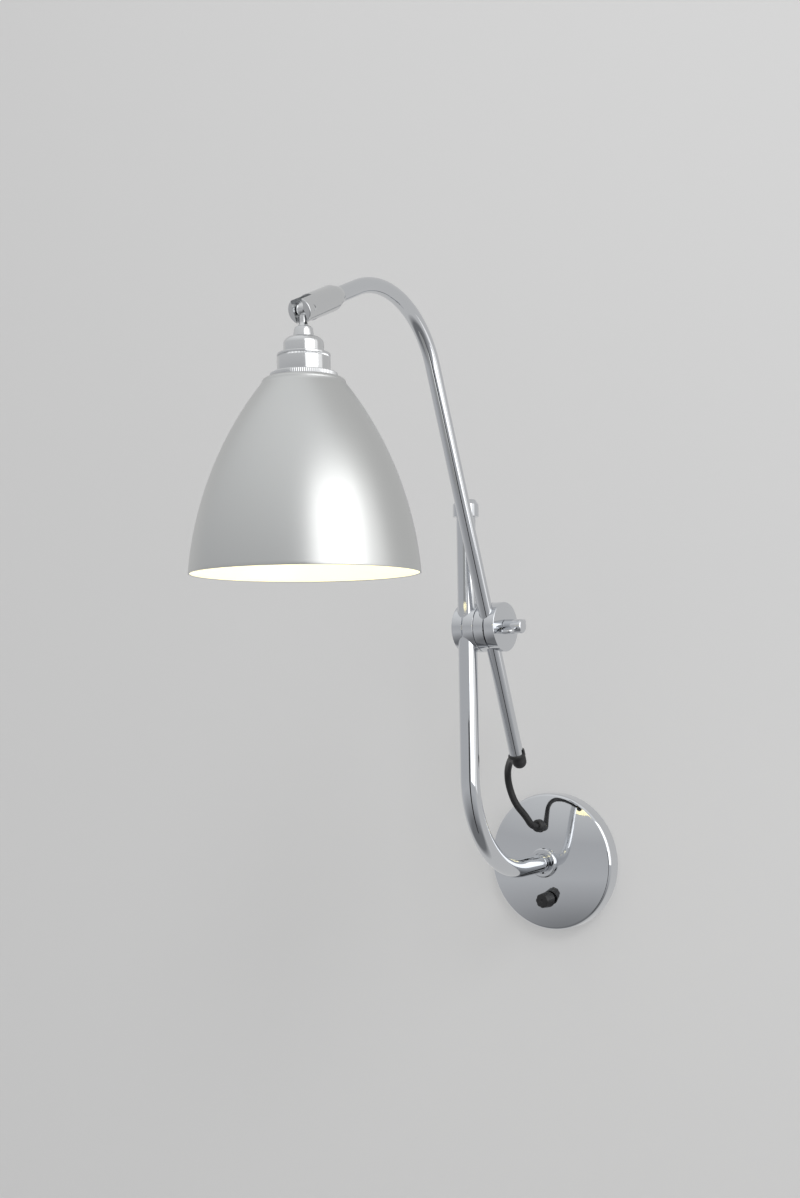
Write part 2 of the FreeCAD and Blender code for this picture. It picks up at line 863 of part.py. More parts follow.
def make_knuckle():
    back = end_way * -1
    rear = barrel_behind - 0.15
    barrel = turned(
        [
            (0, -barrel_ahead),
            (barrel_radius, -barrel_ahead, 0.7),
            (barrel_radius, rear, 0.3),
            (upper_radius + run_gap, rear),
            (upper_radius + run_gap, tube_end_behind - seat_gap),
            (wire_bore_radius, tube_end_behind - seat_gap),
            (wire_bore_radius, slot_behind - 1),
            (0, slot_behind - 1),
        ],
        pin_centre,
        back,
    )
    half = slot_width / 2
    slot = block(
        (-half, half),
        (-2 * barrel_radius, 2 * barrel_radius),
        (-barrel_ahead - 1, slot_behind),
    )
    slot = place_square(slot, pin_centre, back)
    barrel = barrel.cut(slot)
    across = pin_centre - ACROSS * 2 * barrel_radius
    barrel = barrel.cut(rod(pin_radius, across, ACROSS, 4 * barrel_radius))
    grub_at = pin_centre + back * knuckle_grub_behind
    grub_start = upper_radius - knuckle_groove + 0.15
    hole_length = 2 * barrel_radius - grub_start
    hole_start = grub_at - ACROSS * 2 * barrel_radius
    hole = rod(knuckle_grub_radius + run_gap, hole_start, ACROSS, hole_length)
    save("knuckle_barrel", barrel.cut(hole))
    length = barrel_radius - pin_inset - grub_start
    screw = rod(knuckle_grub_radius, grub_at - ACROSS * grub_start, ACROSS * -1, length)
    save("knuckle_grub_screw", screw)
    pin = rod(pin_radius, across, ACROSS, 4 * barrel_radius)
    envelope = rod(
        barrel_radius - pin_inset, pin_centre - back * 2 * barrel_radius, back, 4 * barrel_radius
    )
    save("knuckle_pin", pin.common(envelope))
    ferrule = turned(
        [
            (upper_radius, barrel_behind),
            (ferrule_radius, barrel_behind, 0.8),
            (ferrule_middle_radius, barrel_behind + ferrule_length / 2, 3.0),
            (ferrule_tip_radius, barrel_behind + ferrule_length, 0.3),
            (upper_radius, barrel_behind + ferrule_length),
        ],
        pin_centre,
        back,
    )
    save("knuckle_ferrule", ferrule)


def place_square(shape, origin, direction):
    """Like place, but local X stays across the lamp."""
    side = direction.cross(ACROSS)
    placed = shape.copy()
    turn = FreeCAD.Rotation(ACROSS, side, direction, "ZXY")
    placed.Placement = FreeCAD.Placement(origin, turn)
    return placed


# ---------------------------------------------------------------- lampholder and shade

def make_tongue():
    ball = Part.makeSphere(tongue_ball_radius, pin_centre)
    x, y, z = pin_centre
    eye = ball.common(block(
        (x - tongue_half_width, x + tongue_half_width), (y - 10, y + 10), (z - 10, z + 10)
    ))
    stem = stack(
        [
            (0, 0),
            (tongue_waist_radius, 0),
            (tongue_waist_radius, tongue_waist_depth, 3.0),
            (tongue_foot_radius, tongue_foot_depth),
            (tongue_shank_radius, tongue_foot_depth),
            (tongue_shank_radius, tongue_shank_end),
            (0, tongue_shank_end),
        ]
    )
    tongue = eye.fuse(stem).removeSplitter()
    tongue = tongue.cut(rod(pin_radius + run_gap, pin_centre - ACROSS * 10, ACROSS, 20))
    bore = rod(tongue_bore_radius, below(tongue_shank_end + 1), UP, tongue_shank_end - 6)
    save("swivel_tongue", tongue.cut(bore))
    nut_top = neck_foot_depth + holder_wall
    nut = ring(
        tongue_shank_radius + run_gap,
        tongue_nut_radius,
        below(nut_top + tongue_nut_height),
        UP,
        tongue_nut_height,
    )
    save("tongue_nut", nut)
    leads = []
    for side in (-1, 1):
        at = below(core_top) + ACROSS * (side * 0.62)
        leads.append(rod(0.55, at, UP, core_top - tongue_shank_end + 8))
    save("holder_leads", Part.makeCompound(leads))


def make_holder():
    neck = stack(
        [
            (tongue_shank_radius + run_gap, tongue_foot_depth),
            (neck_top_radius, tongue_foot_depth, 1.0),
            (neck_foot_radius, neck_foot_depth),
            (tongue_shank_radius + run_gap, neck_foot_depth),
        ]
    )
    save("holder_neck", neck)
    cap = stack(
        [
            (tongue_shank_radius + run_gap, neck_foot_depth),
            (holder_cap_radius, neck_foot_depth, holder_cap_round),
            (holder_cap_radius, holder_cap_end),
            (holder_cap_radius - holder_wall, holder_cap_end),
            (
                holder_cap_radius - holder_wall,
                neck_foot_depth + holder_wall,
                holder_cap_round - holder_wall,
            ),
            (tongue_shank_radius + run_gap, neck_foot_depth + holder_wall),
        ]
    )
    save("holder_cap", cap)
    bead = stack(
        [
            (holder_cap_radius - holder_wall, holder_cap_end),
            (holder_cap_radius + 1.0, holder_cap_end, 0.8),
            (bead_radius, holder_cap_end + 1.0, 0.7),
            (bead_radius, bead_lip_end),
            (bead_groove_radius, bead_lip_end),
            (bead_groove_radius, bead_end),
            (holder_cap_radius - holder_wall, bead_end),
        ]
    )
    save("knurled_bead", bead)
    body = stack(
        [
            (holder_radius - 2 * holder_wall, bead_end),
            (holder_radius, bead_end),
            (holder_radius, holder_end),
            (holder_radius - 2 * holder_wall, holder_end),
        ]
    )
    save("holder_body", body)
    sleeve = ring(
        sleeve_radius - sleeve_wall,
        sleeve_radius,
        below(sleeve_end),
        UP,
        sleeve_end - holder_end,
    )
    save("holder_sleeve", sleeve)


def make_shade_rings():
    bore = sleeve_radius + run_gap
    top = stack(
        [
            (bore, holder_end),
            (shade_ring_radius, holder_end, 1.0),
            (shade_ring_radius, shade_ring_end, 1.0),
            (bore, shade_ring_end),
        ]
    )
    save("shade_ring", top)
    lock = ring(
        bore,
        lock_ring_radius,
        below(shade_ring_end + shade_wall + lock_ring_height),
        UP,
        lock_ring_height,
    )
    save("shade_lock_ring", lock)


def make_socket():
    core_radius = holder_radius - 2 * holder_wall - core_gap
    core = rod(core_radius, below(core_top + core_height), UP, core_height)
    for side in (-1, 1):
        hole = rod(0.6, below(core_top + 1.5) + ACROSS * (side * 0.62), UP, 3)
        core = core.cut(hole)
    save("socket_core", core)
    shell_start = core_top + core_height
    shell_end = bulb_start() + bulb_cap_length - shell_stop_gap
    shell = ring(
        shell_radius - shell_wall, shell_radius, below(shell_end), UP, shell_end - shell_start
    )
    save("socket_shell", shell)
    contact = rod(contact_radius, below(shell_start + contact_height), UP, contact_height)
    save("centre_contact", contact)


def shade_arc_centre():
    """Centre, as radius and height, of the arc through the rim and the shoulder."""
    shoulder_height = shade_height - shade_shoulder_round
    inward = shade_rim_radius - shade_shoulder_radius
    chord = math.hypot(inward, shoulder_height)
    reach = math.sqrt(shade_arc_radius ** 2 - (chord / 2) ** 2)
    middle_radius = (shade_rim_radius + shade_shoulder_radius) / 2
    return (
        middle_radius - reach * shoulder_height / chord,
        shoulder_height / 2 - reach * inward / chord,
    )


def bell_form(inset):
    """The bell as one solid down to its rim, drawn in by an inset."""
    centre_r, centre_z = shade_arc_centre()
    arc_radius = shade_arc_radius - inset
    top = shade_height - inset
    corner = shade_shoulder_round - inset / 2
    side_top = top - corner

    def on_arc(height):
        return centre_r + math.sqrt(arc_radius ** 2 - (height - centre_z) ** 2)

    rim = V(on_arc(0), 0, 0)
    shoulder = V(on_arc(side_top), 0, side_top)
    curl = V(shoulder.x - corner, 0, top)
    bend = V(curl.x + corner * math.sqrt(0.5), 0, side_top + corner * math.sqrt(0.5))
    edges = [
        Part.LineSegment(V(0, 0, 0), rim).toShape(),
        Part.Arc(rim, V(on_arc(side_top / 2), 0, side_top / 2), shoulder).toShape(),
        Part.Arc(shoulder, bend, curl).toShape(),
        Part.LineSegment(curl, V(0, 0, top)).toShape(),
        Part.LineSegment(V(0, 0, top), V(0, 0, 0)).toShape(),
    ]
    return Part.Face(Part.Wire(edges)).revolve(V(0, 0, 0), UP, 360)


def make_shade():
    hole = rod(sleeve_radius + run_gap, V(0, 0, 0), UP, shade_height + 1)
    shade = bell_form(0.0).cut(bell_form(shade_wall)).cut(hole)
    save("shade", place(shade, shade_rim, UP))


def make_bulb():
    start = bulb_start()
    glass_start = start + bulb_cap_length
    wall = bulb_cap_wall
    cap = stack(
        [
            (0, start),
            (contact_radius, start),
            (bulb_cap_radius, start + 4),
            (bulb_cap_radius, glass_start),
            (bulb_cap_radius - wall, glass_start),
            (bulb_cap_radius - wall, start + 4 + wall),
            (contact_radius, start + 2 * wall),
            (0, start + 2 * wall),
        ]
    )
    save("bulb_cap", cap)
    outer = bulb_form(0.0, glass_start, start + bulb_length)
    inner = bulb_form(bulb_glass_wall, glass_start, start + bulb_length)
    throat = rod(bulb_neck_radius - bulb_glass_wall, below(glass_start + 1), UP, 2)
    save("bulb_glass", outer.cut(inner.fuse(throat)))


def bulb_form(inset, neck_depth, tip_depth):
    """The bulb's neck and globe as one solid, drawn in by an inset."""
    radius = bulb_globe_radius
    centre_depth = tip_depth - radius
    open_angle = math.radians(48)
    join = V((radius - inset) * math.sin(open_angle), 0, (radius - inset) * math.cos(open_angle))
    neck = V(bulb_neck_radius - inset, 0, centre_depth - neck_depth)
    waist = V(bulb_neck_radius + 1.6 - inset, 0, (neck.z + join.z) * 0.56)
    tip = V(0, 0, -(radius - inset))
    edges = [
        Part.LineSegment(V(0, 0, neck.z), neck).toShape(),
        Part.Arc(neck, waist, join).toShape(),
        Part.Arc(join, V(radius - inset, 0, 0), tip).toShape(),
        Part.LineSegment(tip, V(0, 0, neck.z)).toShape(),
    ]
    form = Part.Face(Part.Wire(edges)).revolve(V(0, 0, 0), UP, 360)
    return place(form, below(centre_depth), UP)


# ---------------------------------------------------------------- flex

def make_flex_loop():
    face = V(grommet_x, -grommet_end, grommet_z)
    root, way = boot_frame()
    mouth = root + way * boot_nozzle_reach
    first = [tuple(face), tuple(face + OUT * flex_exit_run)]
    last = [tuple(mouth + way * flex_boot_run), tuple(mouth)]
    save("flex_loop", piped(route_edges(first + FLEX_ROUTE + last), flex_radius))


made = []
os.makedirs("parts", exist_ok=True)
make_bracket()
make_plate()
make_plate_screw()
make_collar()
make_collar_fixings()
make_grommet()
make_flex_tail()
make_terminals()
make_cord_clamp()
make_switch()
make_lower_arm()
make_clamp()
make_bolt()
make_wing_nut()
make_upper_arm()
make_boot()
make_arm_flex()
make_flex_loop()
make_knuckle()
make_tongue()
make_holder()
make_shade_rings()
make_socket()
make_shade()
make_bulb()
for name, shape in made:
    print(name, len(shape.Solids), shape.isValid(), round(shape.Volume, 1))
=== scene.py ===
import json
import math
import bmesh
import bpy
import numpy as np
from bpy.props import FloatProperty, FloatVectorProperty, IntProperty, PointerProperty, StringProperty
from mathutils import Matrix


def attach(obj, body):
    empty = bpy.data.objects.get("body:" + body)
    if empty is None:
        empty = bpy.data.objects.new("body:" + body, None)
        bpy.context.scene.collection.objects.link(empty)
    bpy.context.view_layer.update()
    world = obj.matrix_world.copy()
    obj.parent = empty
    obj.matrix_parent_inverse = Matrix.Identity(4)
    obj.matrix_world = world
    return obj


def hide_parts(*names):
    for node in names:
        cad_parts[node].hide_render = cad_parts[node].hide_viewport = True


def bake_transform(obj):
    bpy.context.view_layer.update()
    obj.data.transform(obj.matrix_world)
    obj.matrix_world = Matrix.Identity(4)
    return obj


bl_info = {
    "name": "Articulating wall lamp",
    "version": (1, 0, 0),
    "blender": (4, 5, 0),
    "location": "View3D > Sidebar > Wall lamp",
    "description": "Dresses the wall lamp's frame with smooth chrome, spun aluminium, rubber and flex",
    "category": "Object",
}

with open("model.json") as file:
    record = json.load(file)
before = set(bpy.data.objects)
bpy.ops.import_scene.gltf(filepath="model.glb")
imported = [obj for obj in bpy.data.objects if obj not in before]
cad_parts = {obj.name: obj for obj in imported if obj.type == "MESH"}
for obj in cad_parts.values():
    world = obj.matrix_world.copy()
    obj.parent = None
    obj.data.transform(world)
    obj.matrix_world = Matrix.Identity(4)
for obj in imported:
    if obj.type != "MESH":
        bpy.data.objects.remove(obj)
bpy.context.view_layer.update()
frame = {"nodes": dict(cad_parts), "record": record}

# Directions in the row frame: +Z up the wall, the lamp stands out along -Y.
ACROSS = np.array([1.0, 0.0, 0.0])
OUT = np.array([0.0, -1.0, 0.0])
UP = np.array([0.0, 0.0, 1.0])

# The lower arm, in millimetres as everything below: its reach from the wall, its tube's top, and the
# clamp's bolt across it. FIT is the clearance round a tube in its bore.
LOWER_REACH = 148.0
LOWER_TOP = 297.7
BOLT = np.array([0.0, -137.2, 205.4])
FIT = 0.05

# The upper arm's line, its bend and its end, as in the solids.
LEAN = math.radians(21.5)
ARM_UP = np.array([0.0, -math.sin(LEAN), math.cos(LEAN)])
ARM_SIDE = np.array([0.0, -math.cos(LEAN), -math.sin(LEAN)])
END_SLOPE = math.radians(25.0)
END_WAY = np.array([0.0, -math.cos(END_SLOPE), -math.sin(END_SLOPE)])
END_SIDE = np.array([0.0, math.sin(END_SLOPE), -math.cos(END_SLOPE)])
TUBES_APART = 20.5
BOLT_TO_TUBE = 9.81
BELOW_BOLT = 110.01
ABOVE_BOLT = 223.19
BEND_RADIUS = 75.0
BEND_TO_PIN = 71.0
UPPER_FOOT = BOLT + ACROSS * TUBES_APART + ARM_SIDE * BOLT_TO_TUBE
UPPER_START = UPPER_FOOT - ARM_UP * BELOW_BOLT
BEND_START = UPPER_FOOT + ARM_UP * ABOVE_BOLT
BEND_CENTRE = BEND_START + ARM_SIDE * BEND_RADIUS
BEND_END = BEND_CENTRE - END_SIDE * BEND_RADIUS
PIN = BEND_END + END_WAY * BEND_TO_PIN

# The lampholder's stack: radii, and depths below the pin.
HOLDER_BORE = 3.25
CAP_TOP = 19.8
CAP_RADIUS = 14.3
CAP_WALL = 1.2
CAP_END = 30.7
BEAD_END = 34.6
BODY_RADIUS = 18.8
BODY_END = 45.4
SHADE_HOLE = 19.75
RING_END = 49.4

# Where the flex leaves the boot: its root on the arm's line, the way it points, and its mouth.
BOOT_ROOT = UPPER_START - ARM_UP * 3.0
BOOT_WAY = np.array([-0.741, 0.661, -0.120]) / np.linalg.norm([-0.741, 0.661, -0.120])
BOOT_MOUTH = BOOT_ROOT + BOOT_WAY * 7.6

# Control points of the free flex, from the grommet's face to the boot's mouth, in metres. They were chosen
# one by one and are the solid's.
FLEX_POINTS = [
    (-0.0060, -0.0262, 0.0320),
    (-0.0060, -0.0340, 0.0320),
    (-0.0095, -0.0387, 0.0416),
    (-0.0151, -0.0474, 0.0526),
    (-0.0193, -0.0511, 0.0686),
    (-0.0173, -0.0566, 0.0814),
    (-0.0081, -0.0684, 0.0901),
    (0.0025, -0.0836, 0.0942),
    tuple((BOOT_MOUTH + BOOT_WAY * 5.5) / 1000),
    tuple(BOOT_MOUTH / 1000),
]
# The bodies that the flex passes on its way, each pair with its share of the flex's length.
FLEX_CHAIN = [
    ("wall_base", "lower_arm", 0.315),
    ("lower_arm", "lower_ring", 0.135),
    ("lower_ring", "lower_clamp", 0.050),
    ("lower_clamp", "upper_clamp", 0.315),
    ("upper_clamp", "upper_ring", 0.035),
    ("upper_ring", "upper_arm", 0.150),
]
# Each cord is a long length, and the lengths after it, up to the second number, are pieces on it.
CORDS = [(0, 3), (3, 6)]
# How far apart the rings of the flex's mesh lie, in metres.
FLEX_RING_SPACING = 0.0006


# ---------------------------------------------------------------- sizes and colours

class LampSizes(bpy.types.PropertyGroup):
    """Sizes of the lamp's visible pieces."""

    plate_radius: FloatProperty(
        name="Plate radius", description="Outer radius of the round wall plate",
        default=0.0602, min=0.04, max=0.09, unit="LENGTH")
    plate_depth: FloatProperty(
        name="Plate depth", description="How far the middle of the domed face stands off the wall",
        default=0.0243, min=0.015, max=0.04, unit="LENGTH")
    plate_crown: FloatProperty(
        name="Plate crown radius", description="Radius of the sphere that the plate's face follows",
        default=0.168, min=0.1, max=0.4, unit="LENGTH")
    collar_radius: FloatProperty(
        name="Collar radius", description="Outer radius of the collar that carries the lower arm",
        default=0.013, min=0.01, max=0.02, unit="LENGTH")
    lower_tube: FloatProperty(
        name="Lower tube radius", description="Outer radius of the lower arm's tube",
        default=0.008, min=0.005, max=0.012, unit="LENGTH")
    lower_bend: FloatProperty(
        name="Lower bend radius", description="Centreline radius of the lower arm's bend",
        default=0.084, min=0.05, max=0.12, unit="LENGTH")
    upper_tube: FloatProperty(
        name="Upper tube radius", description="Outer radius of the upper arm's tube",
        default=0.006, min=0.004, max=0.01, unit="LENGTH")
    drum_radius: FloatProperty(
        name="Clamp radius", description="Radius of the clamp's round cheeks",
        default=0.0205, min=0.015, max=0.03, unit="LENGTH")
    shade_rim: FloatProperty(
        name="Shade rim radius", description="Outer radius of the shade at its mouth",
        default=0.080, min=0.05, max=0.12, unit="LENGTH")
    shade_height: FloatProperty(
        name="Shade height", description="Height of the shade from its mouth to its top",
        default=0.1356, min=0.08, max=0.2, unit="LENGTH")
    shade_arc: FloatProperty(
        name="Shade arc radius", description="Radius of the single arc that the shade's side follows",
        default=0.2507, min=0.15, max=0.5, unit="LENGTH")
    bulb_radius: FloatProperty(
        name="Bulb radius", description="Radius of the bulb's globe",
        default=0.030, min=0.02, max=0.04, unit="LENGTH")
    flex_radius: FloatProperty(
        name="Flex radius", description="Radius of the round black flex",
        default=0.00305, min=0.002, max=0.005, unit="LENGTH")
    knurl_count: IntProperty(
        name="Knurls", description="Number of knurls round the shade ring",
        default=108, min=24, max=160)


class LampFinishes(bpy.types.PropertyGroup):
    """Colours, as sRGB hex values, and the glow of the lit lamp."""

    chrome: StringProperty(
        name="Chrome", description="Colour of the polished chrome plate", default="#D7D9DC")
    aluminium: StringProperty(
        name="Aluminium", description="Colour of the satin spun aluminium shade", default="#D2D3D2")
    enamel: StringProperty(
        name="Enamel", description="Colour of the white enamel inside the shade", default="#F8F3D8")
    # This colour also tints the painted glow on the shade's enamel, which stands in for the bulb's light.
    glow: StringProperty(
        name="Glow", description="Colour of the lit bulb", default="#FFF9DE")
    glow_strength: FloatProperty(
        name="Glow strength", description="How brightly the bulb's glass shines",
        default=1.3, min=0.0, max=20.0)
    rubber: StringProperty(
        name="Rubber", description="Colour of the boot and the grommet", default="#1B1B1C")
    flex: StringProperty(
        name="Flex", description="Colour of the flex's sheath", default="#171718")


class LampStage(bpy.types.PropertyGroup):
    """Backdrop, light and camera."""

    wall: StringProperty(
        name="Wall", description="Colour of the wall behind the lamp", default="#CDCDCD")
    camera_place: FloatVectorProperty(
        name="Camera place", description="Where the camera stands", size=3, unit="LENGTH",
        default=(0.63823, -1.19173, 0.15646))
    camera_yaw: FloatProperty(
        name="Camera yaw", description="Turn of the camera to the left of straight at the wall",
        default=0.59420, unit="ROTATION")
    camera_pitch: FloatProperty(
        name="Camera pitch", description="Upward tilt of the camera", default=0.08567, unit="ROTATION")
    camera_roll: FloatProperty(
        name="Camera roll", description="Roll of the camera", default=-0.01220, unit="ROTATION")


def mm(value):
    """A length property in millimetres."""
    return value * 1000.0


def linear(code):
    """Linear RGBA of an sRGB hex colour."""
    c = np.array([int(code[i:i + 2], 16) for i in (1, 3, 5)]) / 255
    rgb = np.where(c <= 0.04045, c / 12.92, ((c + 0.055) / 1.055) ** 2.4)
    return (*rgb.tolist(), 1.0)


# ---------------------------------------------------------------- surfaces

def rounded(corners, closed=False, steps=8):
    """Profile through corners (r, z) or (r, z, rounding), each rounded corner swept by a tangent arc:
    p(t) = centre - middle * radius turned from the entering side to the leaving side."""
    points = []
    count = len(corners)
    for i, corner in enumerate(corners):
        here = np.array(corner[:2], float)
        size = corner[2] if len(corner) > 2 else 0.0
        if size <= 0 or (not closed and i in (0, count - 1)):
            points.append(here[None])
            continue
        back = np.array(corners[i - 1][:2]) - here
        ahead = np.array(corners[(i + 1) % count][:2]) - here
        back = back / np.linalg.norm(back)
        ahead = ahead / np.linalg.norm(ahead)
        half = math.acos(float(np.clip(back @ ahead, -1, 1))) / 2
        middle = (back + ahead) / np.linalg.norm(back + ahead)
        centre = here + middle * size / math.sin(half)
        start = here + back * size / math.tan(half) - centre
        end = here + ahead * size / math.tan(half) - centre
        spread = math.pi - 2 * half
        t = np.linspace(0, 1, steps + 1)[:, None]
        arc = (np.sin((1 - t) * spread) * start + np.sin(t * spread) * end) / math.sin(spread)
        points.append(centre + arc)
    return np.concatenate(points)


def turned(profile, origin, direction, around=128, ripple=None):
    """Surface of revolution: p(s, t) = origin + z(s) * direction + r(s, t) * (cos t * a + sin t * b),
    with r(s, t) = r(s) + ripple(s, t) where the piece is knurled or fluted."""
    direction = np.asarray(direction, float)
    a = ACROSS if abs(direction[0]) < 0.9 else UP
    a = a - direction * (a @ direction)
    a = a / np.linalg.norm(a)
    b = np.cross(direction, a)
    t = np.arange(around) * 2 * math.pi / around
    radius = np.repeat(profile[:, :1], around, axis=1)
    if ripple is not None:
        radius = radius + ripple(profile, t)
    spoke = np.cos(t)[:, None] * a + np.sin(t)[:, None] * b
    return origin + profile[:, 1][:, None, None] * direction + radius[:, :, None] * spoke[None]


def tube(path, radius, normal, around=64):
    """Round tube: p(s, t) = c(s) + radius * (cos t * n(s) + sin t * (c'(s) x n(s))), with n(s) the given
    steady normal made square to the path, and both ends drawn in to a point so that they are closed."""
    way = np.gradient(path, axis=0)
    way = way / np.linalg.norm(way, axis=1)[:, None]
    n = normal - way * (way @ normal)[:, None]
    n = n / np.linalg.norm(n, axis=1)[:, None]
    b = np.cross(way, n)
    t = np.arange(around) * 2 * math.pi / around
    rings = path[:, None] + radius * (np.cos(t)[:, None] * n[:, None] + np.sin(t)[:, None] * b[:, None])
    first = np.repeat(path[:1, None], around, axis=1)
    last = np.repeat(path[-1:, None], around, axis=1)
    return np.concatenate([first, rings, last])


def slab(edge, thickness, rounding, origin, along, side, steps=5):
    """Flat plate with rounded edges: the outline c(s) drawn in by rounding * (1 - cos a) at height
    thickness / 2 - rounding * (1 - sin a), mirrored below, and closed to its middle on both faces."""
    way = np.roll(edge, -1, axis=0) - np.roll(edge, 1, axis=0)
    way = way / np.linalg.norm(way, axis=1)[:, None]
    inward = np.stack([-way[:, 1], way[:, 0]], axis=1)
    middle = edge.mean(axis=0)
    if ((middle - edge) * inward).sum() < 0:
        inward = -inward
    a = np.linspace(0, math.pi / 2, steps)
    low_draw, low_rise = rounding * (1 - np.sin(a)), rounding * (1 - np.cos(a))
    draw = np.concatenate([low_draw, low_draw[::-1]])
    high = np.concatenate([low_rise - thickness / 2, thickness / 2 - low_rise[::-1]])
    flat = edge[None] + draw[:, None, None] * inward[None]
    up = np.cross(along, side)
    rings = origin + flat[:, :, :1] * along + flat[:, :, 1:] * side + high[:, None, None] * up
    low = origin + middle[0] * along + middle[1] * side + high[0] * up
    top = origin + middle[0] * along + middle[1] * side + high[-1] * up
    count = len(edge)
    first = np.repeat(low[None, None], count, axis=1)
    last = np.repeat(top[None, None], count, axis=1)
    return np.concatenate([first, rings, last])


def distance_along(path):
    """How far each point of a path lies from its start."""
    return np.concatenate([[0], np.cumsum(np.linalg.norm(np.diff(path, axis=0), axis=1))])


def grid_faces(rows, columns, closed):
    """Quads of a grid that wraps in its second direction, and in its first where closed."""
    i, j = np.meshgrid(np.arange(rows if closed else rows - 1), np.arange(columns), indexing="ij")
    k = (j + 1) % columns
    m = (i + 1) % rows
    return np.stack([i * columns + j, i * columns + k, m * columns + k, m * columns + j], -1).reshape(-1, 4)


def skin(name, grid, closed=False, sharp=32.0, shares=None):
    """A mesh object from a grid of points in millimetres: poles merged, faces outward, edges sharper
    than the angle kept sharp. shares gives each row's material number."""
    rows, columns = grid.shape[:2]
    mesh = bpy.data.meshes.new(name)
    mesh.from_pydata((grid.reshape(-1, 3) / 1000.0).tolist(), [], grid_faces(rows, columns, closed).tolist())
    if shares is not None:
        mesh.polygons.foreach_set("material_index", np.repeat(shares, columns).astype(np.int32))
    work = bmesh.new()
    work.from_mesh(mesh)
    bmesh.ops.remove_doubles(work, verts=work.verts, dist=1e-7)
    bmesh.ops.recalc_face_normals(work, faces=work.faces)
    work.to_mesh(mesh)
    work.free()
    mesh.update()
    smooth(mesh, sharp)
    piece = bpy.data.objects.new(name, mesh)
    bpy.context.scene.collection.objects.link(piece)
    return piece


def smooth(mesh, sharp):
    """Smooth shading, with the edges that turn by more than an angle kept sharp."""
    mesh.shade_smooth()
    mesh.set_sharp_from_angle(angle=math.radians(sharp))


def apply_modifier(piece, modifier):
    """Makes a modifier part of the piece's mesh."""
    with bpy.context.temp_override(object=piece, active_object=piece, selected_objects=[piece]):
        bpy.ops.object.modifier_apply(modifier=modifier.name)


def carve(piece, *cutters, sharp=32.0):
    """Cuts closed shapes out of a piece and removes them."""
    for cutter in cutters:
        cut = piece.modifiers.new("carve", "BOOLEAN")
        cut.operation = "DIFFERENCE"
        cut.solver = "EXACT"
        cut.object = cutter
        apply_modifier(piece, cut)
        bpy.data.objects.remove(cutter)
    smooth(piece.data, sharp)


def joined(name, pieces):
    """One mesh object from several."""
    work = bmesh.new()
    for piece in pieces:
        work.from_mesh(piece.data)
    mesh = bpy.data.meshes.new(name)
    work.to_mesh(mesh)
    work.free()
    whole = bpy.data.objects.new(name, mesh)
    bpy.context.scene.collection.objects.link(whole)
    for piece in pieces:
        bpy.data.objects.remove(piece)
    return whole


def bar(name, radius, start, end, around=64):
    """A plain round bar, used to cut with and to build up moulded shapes."""
    start, end = np.asarray(start, float), np.asarray(end, float)
    length = np.linalg.norm(end - start)
    profile = np.array([(0, 0), (radius, 0), (radius, length), (0, length)], float)
    return skin(name, turned(profile, start, (end - start) / length, around))


def plain_object(name, points, faces, recalculate=True):
    """A mesh object from points in millimetres and its faces, turned outward where asked."""
    mesh = bpy.data.meshes.new(name)
    mesh.from_pydata((points / 1000).tolist(), [], faces)
    if recalculate:
        work = bmesh.new()
        work.from_mesh(mesh)
        bmesh.ops.recalc_face_normals(work, faces=work.faces)
        work.to_mesh(mesh)
        work.free()
    piece = bpy.data.objects.new(name, mesh)
    bpy.context.scene.collection.objects.link(piece)
    return piece


def dress(piece, body, nodes, slot, *materials):
    """Gives a finished piece its materials and its body, and hides the CAD nodes that it stands for."""
    for material in materials:
        piece.data.materials.append(material)
    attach(piece, body)
    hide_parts(*nodes)
    return piece


# ---------------------------------------------------------------- materials

def feed(tree, node, inputs):
    """Sets or links a node's inputs."""
    for name, value in inputs.items():
        if isinstance(value, bpy.types.NodeSocket):
            tree.links.new(value, node.inputs[name])
        else:
            node.inputs[name].default_value = value


def add(tree, kind, inputs=None, **settings):
    """Adds a node with its settings and its inputs."""
    node = tree.nodes.new(kind)
    for name, value in settings.items():
        setattr(node, name, value)
    feed(tree, node, inputs or {})
    return node


def blank(name):
    """A new material, its nodes, its shader and the coordinates of the piece that it is on."""
    material = bpy.data.materials.new(name)
    material.use_nodes = True
    tree = material.node_tree
    shader = tree.nodes["Principled BSDF"]
    place = add(tree, "ShaderNodeTexCoord").outputs["Object"]
    return material, tree, shader, place


def per_metre(size):
    """The scale of a pattern whose marks are the given size in millimetres."""
    return 1000.0 / size


def toned(code, share):
    """A colour made darker or lighter by a share, and kept within white."""
    return tuple(min(1.0, part * share) for part in linear(code)[:3]) + (1.0,)


def chrome_plate(name, code, low, high):
    """Chrome plate over polished steel: a bright mirror, slightly blue, with a faint haze of handling
    in patches, and waves 0.01 mm high that the polishing mop left."""
    haze_size, wave_size = 18.2, 6.25
    material, tree, shader, place = blank(name)
    haze = add(tree, "ShaderNodeTexNoise", {"Vector": place, "Scale": per_metre(haze_size), "Detail": 3.0})
    rough = add(tree, "ShaderNodeMapRange", {"Value": haze.outputs["Fac"], "To Min": low, "To Max": high})
    mop = add(tree, "ShaderNodeTexNoise", {"Vector": place, "Scale": per_metre(wave_size), "Detail": 1.0})
    bump = add(tree, "ShaderNodeBump", {"Height": mop.outputs["Fac"], "Strength": 0.05, "Distance": 0.0002})
    feed(tree, shader, {
        "Base Color": linear(code),
        "Metallic": 1.0,
        "Roughness": rough.outputs["Result"],
        "Normal": bump.outputs["Normal"],
    })
    return material


